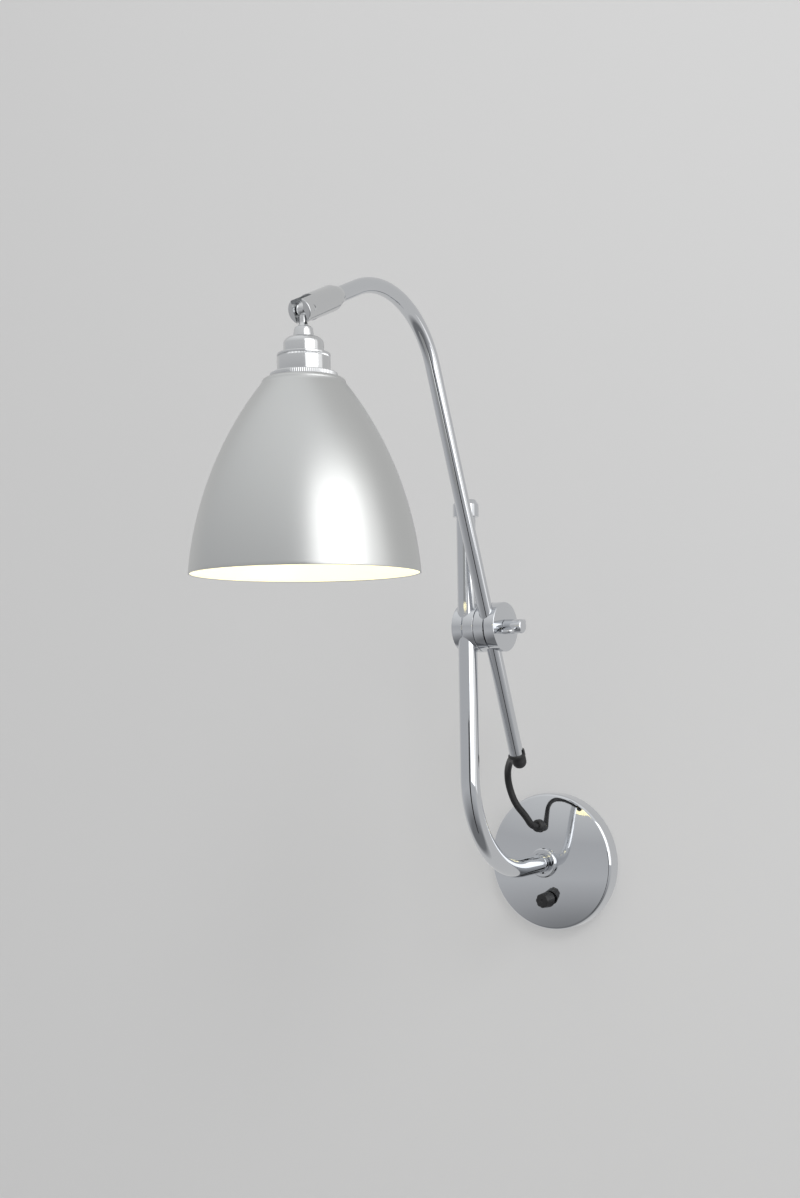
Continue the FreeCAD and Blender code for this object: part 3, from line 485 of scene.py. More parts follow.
def spun_aluminium(code):
    """Spun aluminium, satin finished on the lathe: soft wide highlights, and fine rings round the
    shade, drawn coarser than the real 0.2 mm so that they show."""
    ring_spacing, ring_length, cloud_size = 2 / 3, 250.0, 41.7
    material, tree, shader, place = blank("satin spun aluminium")
    scale = (per_metre(ring_length), per_metre(ring_length), per_metre(ring_spacing))
    rings = add(tree, "ShaderNodeMapping", {"Vector": place, "Scale": scale})
    lines = add(tree, "ShaderNodeTexNoise", {"Vector": rings.outputs["Vector"], "Scale": 1.0, "Detail": 2.0})
    cloud = add(tree, "ShaderNodeTexNoise", {"Vector": place, "Scale": per_metre(cloud_size), "Detail": 2.0})
    both = add(tree, "ShaderNodeMath", {0: lines.outputs["Fac"], 1: cloud.outputs["Fac"]},
               operation="MULTIPLY")
    rough = add(tree, "ShaderNodeMapRange", {"Value": both.outputs[0], "To Min": 0.32, "To Max": 0.44})
    bump = add(tree, "ShaderNodeBump", {
        "Height": lines.outputs["Fac"], "Strength": 0.03, "Distance": 0.0002})
    feed(tree, shader, {
        "Base Color": linear(code),
        "Metallic": 1.0,
        "Roughness": rough.outputs["Result"],
        "Normal": bump.outputs["Normal"],
    })
    return material


def enamel_with_painted_glow(code, glow, strength):
    """White stove enamel inside the shade, with a painted glow: its emission stands in for the lit bulb's
    light on it. Pale warm white, brightest deep inside and a little yellower towards the rim."""
    rim_height, deep_height = 0.234, 0.33
    material, tree, shader, place = blank("white stove enamel")
    height = add(tree, "ShaderNodeSeparateXYZ", {"Vector": place}).outputs["Z"]
    # Painted glow: the emission strength fades from deep inside to the rim, standing in for the bulb's light
    # on the enamel.
    ramp = add(tree, "ShaderNodeMapRange", {
        "Value": height, "From Min": rim_height, "From Max": deep_height, "To Min": 0.55, "To Max": 1.0})
    painted_glow_gain = add(tree, "ShaderNodeMath", {0: ramp.outputs["Result"], 1: strength}, operation="MULTIPLY")
    feed(tree, shader, {
        "Base Color": linear(code),
        "Roughness": 0.28,
        "Emission Color": linear(glow),
        "Emission Strength": painted_glow_gain.outputs[0],
    })
    return material


def black_moulding(name, code, rough, grain_size):
    """Moulded black rubber or phenolic: dull, with a fine grain from the mould and lighter scuffs."""
    scuff_size = 8.33
    material, tree, shader, place = blank(name)
    grain = add(tree, "ShaderNodeTexNoise", {"Vector": place, "Scale": per_metre(grain_size), "Detail": 2.0})
    wear = add(tree, "ShaderNodeTexNoise", {"Vector": place, "Scale": per_metre(scuff_size), "Detail": 4.0})
    tone = add(tree, "ShaderNodeMapRange", {
        "Value": wear.outputs["Fac"], "From Min": 0.4, "From Max": 0.8, "To Min": 0.0, "To Max": 1.0})
    mix = add(tree, "ShaderNodeMix", {0: tone.outputs["Result"], 6: linear(code), 7: toned(code, 1.9)},
              data_type="RGBA")
    dull = add(tree, "ShaderNodeMapRange", {
        "Value": wear.outputs["Fac"], "To Min": rough - 0.06, "To Max": rough + 0.08})
    bump = add(tree, "ShaderNodeBump", {
        "Height": grain.outputs["Fac"], "Strength": 0.25, "Distance": 0.0001})
    feed(tree, shader, {
        "Base Color": mix.outputs[2],
        "Roughness": dull.outputs["Result"],
        "Normal": bump.outputs["Normal"],
    })
    return material


def sheath(code):
    """Round flex in a plain black sheath: a dull extruded skin with faint lengthwise drag lines,
    read from the flex's own UV map so that they follow its bends."""
    drag_length, drag_lines, grain_size = 16.7, 26.0, 0.556
    material, tree, shader, place = blank("black flex sheath")
    along = add(tree, "ShaderNodeUVMap", uv_map="along").outputs["UV"]
    scale = (per_metre(drag_length), drag_lines, 1.0)
    stretch = add(tree, "ShaderNodeMapping", {"Vector": along, "Scale": scale})
    drag = add(tree, "ShaderNodeTexNoise", {
        "Vector": stretch.outputs["Vector"], "Scale": 1.0, "Detail": 3.0})
    grain = add(tree, "ShaderNodeTexNoise", {"Vector": place, "Scale": per_metre(grain_size), "Detail": 1.0})
    both = add(tree, "ShaderNodeMath", {0: drag.outputs["Fac"], 1: grain.outputs["Fac"]}, operation="ADD")
    bump = add(tree, "ShaderNodeBump", {"Height": both.outputs[0], "Strength": 0.3, "Distance": 0.0001})
    rough = add(tree, "ShaderNodeMapRange", {"Value": drag.outputs["Fac"], "To Min": 0.46, "To Max": 0.66})
    feed(tree, shader, {
        "Base Color": linear(code),
        "Roughness": rough.outputs["Result"],
        "Normal": bump.outputs["Normal"],
    })
    return material


def mottled(tree, place, code, dark, size, detail, rough_low, rough_high):
    """The tone and the roughness of a surface that is uneven in patches of a size in millimetres."""
    mottle = add(tree, "ShaderNodeTexNoise", {"Vector": place, "Scale": per_metre(size), "Detail": detail})
    mix = add(tree, "ShaderNodeMix", {0: mottle.outputs["Fac"], 6: toned(code, dark), 7: linear(code)},
              data_type="RGBA")
    rough = add(tree, "ShaderNodeMapRange", {
        "Value": mottle.outputs["Fac"], "To Min": rough_low, "To Max": rough_high})
    return {"Base Color": mix.outputs[2], "Roughness": rough.outputs["Result"]}


def plain_metal(name, code, rough, patch_size):
    """Zinc plate, blacked steel, brass or nickel on small hidden fittings: turned or barrelled metal
    with a mottled tone and roughness."""
    material, tree, shader, place = blank(name)
    feed(tree, shader, mottled(tree, place, code, 0.78, patch_size, 4.0, rough - 0.06, rough + 0.1))
    feed(tree, shader, {"Metallic": 1.0})
    return material


def pale_moulding(name, code, rough):
    """White thermoplastic or glazed ceramic on the fittings inside: smooth, faintly uneven in tone."""
    material, tree, shader, place = blank(name)
    feed(tree, shader, mottled(tree, place, code, 0.9, 11.1, 2.0, rough - 0.04, rough + 0.06))
    return material


def opal_glass(glow, strength):
    """Opal glass of a lit bulb: a milky skin that glows evenly, a little brighter in patches."""
    patch_size = 25.0
    material, tree, shader, place = blank("opal bulb glass")
    milk = add(tree, "ShaderNodeTexNoise", {"Vector": place, "Scale": per_metre(patch_size), "Detail": 1.0})
    glare = add(tree, "ShaderNodeMapRange", {
        "Value": milk.outputs["Fac"], "To Min": strength * 0.95, "To Max": strength * 1.05})
    feed(tree, shader, {
        "Base Color": linear("#F4F0E2"),
        "Roughness": 0.12,
        "Emission Color": linear(glow),
        "Emission Strength": glare.outputs["Result"],
    })
    return material


def finish(slot):
    """The material for a slot of the record, made once."""
    colours = bpy.context.scene.lamp_finishes
    makers = {
        "polished_chrome": lambda: chrome_plate("bright chrome plate", colours.chrome, 0.03, 0.07),
        "satin_chrome": lambda: chrome_plate("soft chrome plate", "#D9DADB", 0.10, 0.18),
        "brushed_aluminium": lambda: spun_aluminium(colours.aluminium),
        # The enamel carries a painted glow that stands in for the bulb's light on it.
        "enamel": lambda: enamel_with_painted_glow(colours.enamel, colours.glow, 0.8),
        "black_rubber": lambda: black_moulding("moulded black rubber", colours.rubber, 0.5, 0.35),
        "black_plastic": lambda: black_moulding("moulded black phenolic", "#161617", 0.34, 0.25),
        "black_flex": lambda: sheath(colours.flex),
        "zinc_steel": lambda: plain_metal("zinc plated steel", "#AEB1B3", 0.34, 5.56),
        "dark_steel": lambda: plain_metal("blackened steel", "#3A3A3C", 0.42, 3.33),
        "brass": lambda: plain_metal("turned brass", "#C8A860", 0.28, 4.55),
        "nickel_cap": lambda: plain_metal("plain nickel", "#C6C3BC", 0.26, 6.67),
        "white_plastic": lambda: pale_moulding("white nylon", "#E6E5E0", 0.42),
        "white_ceramic": lambda: pale_moulding("glazed white ceramic", "#EFEDE6", 0.16),
        "opal_glass": lambda: opal_glass(colours.glow, colours.glow_strength),
    }
    key = "finish of " + slot
    for material in bpy.data.materials:
        if material.get("slot") == key:
            return material
    material = makers[slot]()
    material["slot"] = key
    return material


# ---------------------------------------------------------------- pieces

class LAMP_OT_wall_plate(bpy.types.Operator):
    """Makes the domed wall plate and the collar on it"""

    bl_idname = "lamp.wall_plate"
    bl_label = "Wall plate and collar"

    def execute(self, context):
        s = context.scene.lamp_sizes
        depth = mm(s.plate_depth)
        self.plate(mm(s.plate_radius), depth, mm(s.plate_crown))
        self.collar(mm(s.collar_radius), mm(s.lower_tube) + FIT, depth)
        return {"FINISHED"}

    def plate(self, radius, depth, crown):
        """A pressed dome: flat cones inside and out that a large rounding turns into the crown, and a
        short upright rim."""
        wall = 1.2
        corner = 29.5
        fall = 11.1
        shoulder = 3.6
        slope = math.atan(fall / (radius - corner))
        inner_corner = corner - wall * math.tan(slope / 2)
        inner_edge = depth - wall - (radius - wall - inner_corner) * math.tan(slope)
        profile = rounded([
            (0, depth),
            (corner, depth, crown),
            (radius, depth - fall, shoulder),
            (radius, 0),
            (radius - wall, 0),
            (radius - wall, inner_edge, shoulder - wall),
            (inner_corner, depth - wall, crown - wall),
            (0, depth - wall),
        ], steps=20)
        plate = skin("wall_plate_shell", turned(profile, np.zeros(3), OUT, 192), sharp=40)
        carve(plate, bar("screw_hole", 2.05, (0, -6, -62), (0, -6, -57)), sharp=40)
        dress(plate, "wall_base", ["wall_plate"], "polished_chrome", finish("polished_chrome"))

    def collar(self, radius, bore, depth):
        """A turned collar with a neck through the plate and a counterbored end."""
        neck, neck_start, foot = 10, 6.5, 23.85
        end = depth + 4.0
        step = end - 1.6
        mouth = bore + 1.2
        profile = rounded([
            (bore, neck_start),
            (neck, neck_start),
            (neck, foot),
            (radius, foot),
            (radius, end, 1.6),
            (mouth, end, 0.2),
            (mouth, step),
            (bore, step),
        ], closed=True)
        collar = skin("turned_collar", turned(profile, np.zeros(3), OUT, 96), closed=True)
        carve(collar, bar("grub_hole", 1.3, (0, -26.1, -14), (0, -26.1, -7.5)))
        dress(collar, "wall_base", ["arm_collar"], "polished_chrome", finish("polished_chrome"))


class LAMP_OT_grommet(bpy.types.Operator):
    """Makes the rounded rubber grommet that the flex leaves through"""

    bl_idname = "lamp.grommet"
    bl_label = "Grommet"

    def execute(self, context):
        bore = mm(context.scene.lamp_sizes.flex_radius)
        radius, inner, outer = 5.6, 17.1, 26.2
        profile = rounded([
            (bore, inner),
            (radius, inner, 0.6),
            (radius, outer, 2.4),
            (bore, outer, 0.3),
        ], closed=True)
        place = np.array([-6.0, 0, 32.0])
        grommet = skin("cord_grommet_moulding", turned(profile, place, OUT, 72), closed=True)
        dress(grommet, "wall_base", ["cord_grommet"], "black_rubber", finish("black_rubber"))
        return {"FINISHED"}


class LAMP_OT_switch(bpy.types.Operator):
    """Makes the fluted black knob of the rotary switch"""

    bl_idname = "lamp.switch"
    bl_label = "Switch knob"

    def execute(self, context):
        base, height = 23.3, 11.9
        shaft, shaft_end = 2.0, 13.2
        flutes, flute_depth, band = 8, 0.5, 1.2
        profile = rounded([
            (0, shaft_end),
            (shaft, shaft_end),
            (shaft, base),
            (6.9, base, 0.4),
            (6.82, base + 1.6, 0.2),
            (6.2, base + height, 1.2),
            (1.6, base + height, 0.3),
            (0, base + height - 1.0),
        ])

        def scallops(points, t):
            """r falls by the flutes' depth times the square of a raised cosine, above the foot band."""
            wave = (0.5 + 0.5 * np.cos(flutes * t - math.pi)) ** 2
            on_side = np.clip((points[:, 1] - base - band) / band, 0, 1) * (points[:, 0] > 4.4)
            return -flute_depth * on_side[:, None] * wave[None]

        grid = turned(profile, np.array([2.8, 0, -32.0]), OUT, 160, scallops)
        knob = skin("fluted_knob", grid, sharp=50)
        dress(knob, "switch_grip", ["switch_knob"], "black_plastic", finish("black_plastic"))
        return {"FINISHED"}


class LAMP_OT_lower_arm(bpy.types.Operator):
    """Makes the lower arm's bent tube and its turned end cap"""

    bl_idname = "lamp.lower_arm"
    bl_label = "Lower arm"

    def execute(self, context):
        s = context.scene.lamp_sizes
        radius, bend = mm(s.lower_tube), mm(s.lower_bend)
        a = np.linspace(0, math.pi / 2, 72)
        arc = np.stack([0 * a, -(LOWER_REACH - bend) - bend * np.sin(a), bend - bend * np.cos(a)], axis=1)
        inner = np.linspace((0, -4.6, 0), arc[0], 24)[:-1]
        upright = np.linspace(arc[-1], (0, -LOWER_REACH, LOWER_TOP), 90)[1:]
        arm = skin("lower_arm_bent_tube", tube(np.concatenate([inner, arc, upright]), radius, ACROSS, 72))
        dress(arm, "lower_arm", ["lower_arm_tube"], "polished_chrome", finish("polished_chrome"))
        spigot, rim, rim_top, top = 6.4, 10.8, 10.4, 14.4
        profile = rounded([
            (0, -8),
            (spigot, -8, 0.4),
            (spigot, 0),
            (rim, 0, 0.5),
            (rim, rim_top, 0.8),
            (8.1, top, 0.8),
            (0, top),
        ])
        place = np.array([0, -LOWER_REACH, LOWER_TOP])
        cap = skin("lower_arm_end_cap", turned(profile, place, UP, 96), sharp=28)
        dress(cap, "lower_arm", ["lower_arm_cap"], "polished_chrome", finish("polished_chrome"))
        return {"FINISHED"}


class LAMP_OT_clamp(bpy.types.Operator):
    """Makes the clamp's four round cheeks, cut for the two tubes, and its domed bolt"""

    bl_idname = "lamp.clamp"
    bl_label = "Cross clamp"

    def execute(self, context):
        s = context.scene.lamp_sizes
        drum = mm(s.drum_radius)
        bolt_hole = 2.1
        past_drum = 45
        lower = (np.array([0, -LOWER_REACH, BOLT[2]]), UP, mm(s.lower_tube) + FIT)
        upper = (UPPER_FOOT, ARM_UP, mm(s.upper_tube) + FIT)
        cheeks = [
            ("lower_cheek_outer", "lower_clamp", -10.2, -0.6, 0.7, 0.06, lower),
            ("lower_cheek_inner", "lower_clamp", 0.6, 10.2, 0.06, 0.5, lower),
            ("upper_cheek_inner", "upper_clamp", 10.7, 19.9, 0.5, 0.06, upper),
            ("upper_cheek_outer", "upper_clamp", 21.1, 30.3, 0.06, 0.7, upper),
        ]
        for node, body, start, end, first, last, (middle, way, bore) in cheeks:
            profile = rounded([
                (bolt_hole, 0),
                (drum, 0, first),
                (drum, end - start, last),
                (bolt_hole, end - start),
            ], closed=True, steps=4)
            grid = turned(profile, BOLT + ACROSS * start, ACROSS, 160)
            cheek = skin(node + "_turned", grid, closed=True)
            carve(cheek, bar("tube_way", bore, middle - way * past_drum, middle + way * past_drum, 96))
            dress(cheek, body, [node], "polished_chrome", finish("polished_chrome"))
        head_radius, head_height, shank, length = 4.6, 2.2, 2.0, 52.8
        profile = rounded([
            (0, -head_height),
            (head_radius, -head_height, 1.7),
            (head_radius, 0),
            (shank, 0),
            (shank, length, 0.4),
            (0, length),
        ])
        bolt = skin("clamp_bolt_turned", turned(profile, BOLT - ACROSS * 10.2, ACROSS, 64))
        dress(bolt, "lower_clamp", ["clamp_bolt"], "polished_chrome", finish("polished_chrome"))
        return {"FINISHED"}


class LAMP_OT_wing_nut(bpy.types.Operator):
    """Makes the wing nut: a turned hub with two rounded wings"""

    bl_idname = "lamp.wing_nut"
    bl_label = "Wing nut"

    def execute(self, context):
        seat = BOLT + ACROSS * 30.6
        hub_height = 16.3
        inner, outer, half_span, thickness = 2.5, 12.5, 15, 3.0
        hub_profile = rounded([(0, 0), (6.2, 0, 0.5), (5.8, hub_height, 1.8), (0, hub_height)])
        hub = skin("wing_hub", turned(hub_profile, seat, ACROSS, 72))
        turn = math.radians(20.0)
        side = np.array([0.0, math.cos(turn), math.sin(turn)])
        edge = rounded([
            (inner, -half_span, 3),
            (outer, -half_span, 4),
            (outer, half_span, 4),
            (inner, half_span, 3),
        ], closed=True)
        wings = skin("wings", slab(edge, thickness, 1.0, seat, ACROSS, side), sharp=40)
        for piece in (hub, wings):
            carve(piece, bar("bore", 2.05, seat - ACROSS, seat + ACROSS * 12.5), sharp=38)
        nut = joined("wing_nut_cast", [hub, wings])
        smooth(nut.data, 38)
        dress(nut, "bolt_nut", ["wing_nut"], "polished_chrome", finish("polished_chrome"))
        return {"FINISHED"}


class LAMP_OT_upper_arm(bpy.types.Operator):
    """Makes the upper arm's bent tube and the ferrule behind the knuckle"""

    bl_idname = "lamp.upper_arm"
    bl_label = "Upper arm"

    def execute(self, context):
        radius = mm(context.scene.lamp_sizes.upper_tube)
        a = np.linspace(0, math.pi / 2 - LEAN + END_SLOPE, 90)[:, None]
        arc = BEND_CENTRE + (ARM_UP * np.sin(a) - ARM_SIDE * np.cos(a)) * BEND_RADIUS
        below = np.linspace(UPPER_START, BEND_START, 130)[:-1]
        beyond = np.linspace(BEND_END, PIN - END_WAY * 16.0, 20)[1:]
        arm = skin("upper_arm_bent_tube", tube(np.concatenate([below, arc, beyond]), radius, ACROSS, 64))
        dress(arm, "upper_arm", ["upper_arm_tube"], "polished_chrome", finish("polished_chrome"))
        front, crest, back = 36.0, 40.25, 44.5
        profile = rounded([
            (radius, front),
            (8.8, front, 0.8),
            (8.1, crest, 3.0),
            (radius + 0.9, back, 0.4),
            (radius, back),
        ], closed=True)
        ferrule = skin("knuckle_ferrule_turned", turned(profile, PIN, -END_WAY, 96), closed=True)
        dress(ferrule, "upper_arm", ["knuckle_ferrule"], "polished_chrome", finish("satin_chrome"))
        return {"FINISHED"}


class LAMP_OT_boot(bpy.types.Operator):
    """Makes the moulded rubber boot on the upper arm's lower end"""

    bl_idname = "lamp.boot"
    bl_label = "Rubber boot"

    def execute(self, context):
        down = -ARM_UP
        lobe = UPPER_START - ARM_SIDE * 2.0
        ball = rounded([(0, 0), (6.0, 0), (6.0, 7.4), (6.0, 13.4, 5.9), (0, 13.4)], steps=16)
        foot = 7.3
        parts = [
            skin("lobe", turned(ball, lobe, down, 64)),
            bar("foot", foot, UPPER_START - down * 0.2, UPPER_START + down * 2.2),
            bar("nozzle", 4.1, BOOT_ROOT, BOOT_MOUTH),
            bar("plug", 4.9, UPPER_START - down * 4, UPPER_START),
            self.lip(6.1, foot),
        ]
        boot = joined("boot_moulding", parts)
        remesh = boot.modifiers.new("fuse", "REMESH")
        remesh.mode = "VOXEL"
        remesh.voxel_size = 0.00038
        apply_modifier(boot, remesh)
        ease = boot.modifiers.new("ease", "SMOOTH")
        ease.factor = 0.5
        ease.iterations = 6
        apply_modifier(boot, ease)
        carve(boot, bar("flex_way", 3.1, BOOT_MOUTH - BOOT_WAY * 0.6, BOOT_MOUTH + BOOT_WAY * 8), sharp=70)
        dress(boot, "upper_arm", ["arm_end_boot"], "black_rubber", finish("black_rubber"))
        return {"FINISHED"}

    def lip(self, inner, outer):
        """Half a ring that hugs the tube above the foot: the profile (r, z) turned half way round,
        p(s, t) = start + z(s) * up + r(s) * (cos t * across + sin t * side), with flat ends."""
        profile = rounded([(inner, -0.5), (outer, -0.5), (outer, 3.8, 1.0), (inner, 3.8)],
                          closed=True, steps=4)
        t = np.linspace(math.pi, 2 * math.pi, 33)
        spoke = np.cos(t)[:, None] * ACROSS + np.sin(t)[:, None] * ARM_SIDE
        out, up = profile[:, 0, None, None], profile[:, 1, None, None]
        grid = UPPER_START + up * ARM_UP + out * spoke[None]
        rows, count = grid.shape[:2]
        quads = grid_faces(rows, count, True)
        quads = quads[(quads[:, 1] % count) != 0]
        ends = [[row * count for row in range(rows)], [row * count + count - 1 for row in range(rows)][::-1]]
        return plain_object("lip", grid.reshape(-1, 3), quads.tolist() + ends, recalculate=False)


class LAMP_OT_flex(bpy.types.Operator):
    """Makes the free flex, in lengths, one for each pair of bodies that it passes"""

    bl_idname = "lamp.flex"
    bl_label = "Free flex"

    def route(self, context):
        """Points along the smooth curve of order 3 that the control points draw, in metres."""
        line = bpy.data.curves.new("flex_route", "CURVE")
        line.dimensions = "3D"
        line.resolution_u = 64
        spline = line.splines.new("NURBS")
        spline.points.add(len(FLEX_POINTS) - 1)
        for point, place in zip(spline.points, FLEX_POINTS):
            point.co = (*place, 1.0)
        spline.order_u = 3
        spline.use_endpoint_u = True
        route = bpy.data.objects.new("flex_route", line)
        context.scene.collection.objects.link(route)
        wire = bpy.data.meshes.new_from_object(route)
        fine = np.empty(len(wire.vertices) * 3)
        wire.vertices.foreach_get("co", fine)
        bpy.data.objects.remove(route)
        return fine.reshape(-1, 3)

    def execute(self, context):
        radius = context.scene.lamp_sizes.flex_radius
        fine = self.route(context)
        gone = distance_along(fine)
        normal = np.linalg.svd(fine - fine.mean(axis=0))[2][2]
        shares = np.array([share for _, _, share in FLEX_CHAIN])
        ends = np.concatenate([[0], np.cumsum(shares / shares.sum())]) * gone[-1]
        lengths = []
        for number, (near, far, _) in enumerate(FLEX_CHAIN):
            start, end = ends[number], ends[number + 1]
            at = np.linspace(start, end, max(12, int((end - start) / FLEX_RING_SPACING)))
            path = np.stack([np.interp(at, gone, fine[:, i]) for i in range(3)], axis=1)
            piece = skin(f"free_flex_{number + 1}", tube(path * 1000, radius * 1000, normal, 32), sharp=50)
            self.lay_out(piece, path, start)
            piece.data.materials.append(finish("black_flex"))
            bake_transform(piece)
            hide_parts("flex_loop")
            lengths.append((piece, path, float(end - start)))
        for first, after in CORDS:
            piece, path, length = lengths[first]
        return {"FINISHED"}

    def lay_out(self, piece, path, start):
        """UV map: u is the distance along the flex in metres, v the turn round it from 0 to 1."""
        mesh = piece.data
        place = np.empty(len(mesh.vertices) * 3)
        mesh.vertices.foreach_get("co", place)
        place = place.reshape(-1, 3)
        near = ((place[:, None] - path[None]) ** 2).sum(axis=2).argmin(axis=1)
        off = place - path[near]
        turn = np.arctan2(off @ UP, off @ ACROSS) / (2 * math.pi) + 0.5
        corners = np.empty(len(mesh.loops), dtype=np.int32)
        mesh.loops.foreach_get("vertex_index", corners)
        layer = mesh.uv_layers.new(name="along")
        both = np.stack([start + distance_along(path)[near[corners]], turn[corners]], axis=1)
        layer.data.foreach_set("uv", both.astype(np.float32).ravel())


class LAMP_OT_knuckle(bpy.types.Operator):
    """Makes the slotted barrel that the shade's tongue tilts in"""

    bl_idname = "lamp.knuckle"
    bl_label = "Knuckle barrel"

    def execute(self, context):
        bore = mm(context.scene.lamp_sizes.upper_tube) + FIT
        radius, front, back = 9.5, -5.5, 35.85
        tube_stop, slot_end, wire_bore = 15.7, 6.5, 3.2
        profile = rounded([
            (0, front),
            (radius, front, 0.7),
            (radius, back, 0.3),
            (bore, back),
            (bore, tube_stop),
            (wire_bore, tube_stop),
            (wire_bore, slot_end),
            (0, slot_end),
        ])
        barrel = skin("knuckle_barrel_turned", turned(profile, PIN, -END_WAY, 128), sharp=30)
        half_slot = 4.7
        beyond = radius + 1.0
        edge = [(-6.5, -beyond), (7.5, -beyond), (7.5, beyond), (-6.5, beyond)]
        corners = [
            PIN + ACROSS * x - END_WAY * behind + END_SIDE * side
            for x in (-half_slot, half_slot)
            for behind, side in edge
        ]
        faces = [(0, 1, 2, 3), (7, 6, 5, 4), (0, 4, 5, 1), (1, 5, 6, 2), (2, 6, 7, 3), (3, 7, 4, 0)]
        cutter = plain_object("slot_cutter", np.array(corners), faces)
        pin_hole = bar("pin_hole", 2.02, PIN - ACROSS * 12, PIN + ACROSS * 12)
        grub = PIN - END_WAY * 26.0
        grub_hole = bar("grub_hole", 1.55, grub - ACROSS * 12, grub - ACROSS * 5.6)
        carve(barrel, cutter, pin_hole, grub_hole, sharp=30)
        dress(barrel, "knuckle", ["knuckle_barrel"], "polished_chrome", finish("satin_chrome"))
        return {"FINISHED"}


class LAMP_OT_holder(bpy.types.Operator):
    """Makes the lampholder's turned neck, cap, bead, body and knurled shade ring"""

    bl_idname = "lamp.holder"
    bl_label = "Lampholder"

    def execute(self, context):
        knurls = context.scene.lamp_sizes.knurl_count

        def knurl(low, high, depth, count):
            """Knurling: r falls by depth times a raised cosine round the ring, between two radii only."""
            def ripple(points, t):
                on_edge = (points[:, 0] > low) & (points[:, 0] < high)
                wave = 0.5 + 0.5 * np.cos(count * t)
                return -depth * on_edge[:, None] * wave[None]
            return ripple

        def stack(name, nodes, corners, around=96, ripple=None, slot="satin_chrome", sharp=30):
            """A turned piece of the holder, from corners whose heights are depths below the pin."""
            profile = rounded([(r, -depth, *rest) for r, depth, *rest in corners], closed=True, steps=6)
            piece = skin(name, turned(profile, PIN, UP, around, ripple), closed=True, sharp=sharp)
            dress(piece, "shade_head", nodes, "polished_chrome", finish(slot))

        stack("holder_neck_turned", ["holder_neck"], [
            (HOLDER_BORE, 12.4),
            (6.3, 12.4, 1.4),
            (7.7, CAP_TOP, 0.1),
            (HOLDER_BORE, CAP_TOP),
        ])
        stack("holder_cap_spun", ["holder_cap"], [
            (HOLDER_BORE, CAP_TOP),
            (CAP_RADIUS, CAP_TOP, 5.2),
            (CAP_RADIUS, CAP_END),
            (CAP_RADIUS - CAP_WALL, CAP_END),
            (CAP_RADIUS - CAP_WALL, CAP_TOP + CAP_WALL, 4.0),
            (HOLDER_BORE, CAP_TOP + CAP_WALL),
        ])
        stack("bead_knurled", ["knurled_bead"], [
            (CAP_RADIUS - CAP_WALL, CAP_END),
            (15.3, CAP_END, 0.6),
            (BODY_RADIUS, 31.7, 0.7),
            (BODY_RADIUS, 33.4, 0.2),
            (18.1, 33.4),
            (18.1, BEAD_END),
            (CAP_RADIUS - CAP_WALL, BEAD_END),
        ], around=8 * knurls, ripple=knurl(17.9, 18.3, 0.4, knurls), sharp=60)
        stack("holder_body_spun", ["holder_body"], [
            (16.4, BEAD_END),
            (BODY_RADIUS, BEAD_END, 0.3),
            (BODY_RADIUS, BODY_END, 0.3),
            (16.4, BODY_END),
        ])
        stack("shade_ring_knurled", ["shade_ring"], [
            (SHADE_HOLE, BODY_END),
            (23.7, BODY_END, 1.0),
            (23.7, RING_END, 1.0),
            (SHADE_HOLE, RING_END),
        ], around=8 * knurls, ripple=knurl(22.9, 30.0, 0.28, knurls), sharp=60)
        return {"FINISHED"}


class LAMP_OT_shade(bpy.types.Operator):
    """Makes the bell shade, satin aluminium outside and white enamel inside, and the bulb in it"""

    bl_idname = "lamp.shade"
    bl_label = "Shade and bulb"

    def execute(self, context):
        s = context.scene.lamp_sizes
        rim, height, arc = mm(s.shade_rim), mm(s.shade_height), mm(s.shade_arc)
        shoulder = 29.54
        corner = 3.4
        wall = 1.2
        lip_rise = 0.35
        inward, rise = rim - shoulder, height - corner
        chord = math.hypot(inward, rise)
        reach = math.sqrt(arc ** 2 - (chord / 2) ** 2)
        centre_r = (rim + shoulder) / 2 - reach * rise / chord
        centre_z = rise / 2 - reach * inward / chord

        def side(inset):
            """r(z) on the arc about the bell's side, then a quarter turn in to the flat top."""
            bend = corner - inset / 2
            z = np.linspace(lip_rise, height - inset - bend, 64)
            r = centre_r + np.sqrt((arc - inset) ** 2 - (z - centre_z) ** 2)
            a = np.linspace(0, math.pi / 2, 9)[1:]
            return np.concatenate([
                np.stack([r, z], axis=1),
                np.stack([r[-1] - bend * (1 - np.cos(a)), z[-1] + bend * np.sin(a)], axis=1),
            ])

        outer, inner = side(0.0), side(wall)
        a = np.linspace(0, math.pi, 9)[1:-1]
        middle = (outer[0, 0] + inner[0, 0]) / 2
        half = (outer[0, 0] - inner[0, 0]) / 2
        lip = np.stack([middle - half * np.cos(a), lip_rise - lip_rise * np.sin(a)], axis=1)
        top_hole = [(SHADE_HOLE, height), (SHADE_HOLE, height - wall)]
        profile = np.concatenate([outer, top_hole, inner[::-1], lip])
        shares = np.zeros(len(profile), dtype=np.int32)
        shares[len(outer) + 1:len(outer) + 1 + len(inner)] = 1
        grid = turned(profile, PIN - UP * (RING_END + height), UP, 256)
        shade = skin("bell_shade", grid, closed=True, sharp=40, shares=shares)
        dress(shade, "shade_head", ["shade"], "brushed_aluminium",
              finish("brushed_aluminium"), finish("enamel"))
        self.bulb(mm(s.bulb_radius))
        return {"FINISHED"}

    def bulb(self, radius):
        """The envelope of a bulb: a globe, a curved neck up to its cap, and a flat end inside the cap.
        Heights are taken from the globe's centre."""
        bulb_start = 52.7
        centre = bulb_start + 104.0 - radius
        glass_end = centre - (bulb_start + 26.0)
        a = np.linspace(math.radians(48), math.pi, 40)
        globe = np.stack([radius * np.sin(a), radius * np.cos(a)], axis=1)
        neck = rounded([
            (0, glass_end),
            (14.6, glass_end, 0.6),
            (15.6, (glass_end + globe[0, 1]) * 0.58, 30),
            tuple(globe[0]),
        ], steps=14)
        grid = turned(np.concatenate([neck, globe[1:]]), PIN - UP * centre, UP, 96)
        envelope = skin("bulb_envelope", grid, sharp=50)
        dress(envelope, "shade_head", ["bulb_glass"], "opal_glass", finish("opal_glass"))


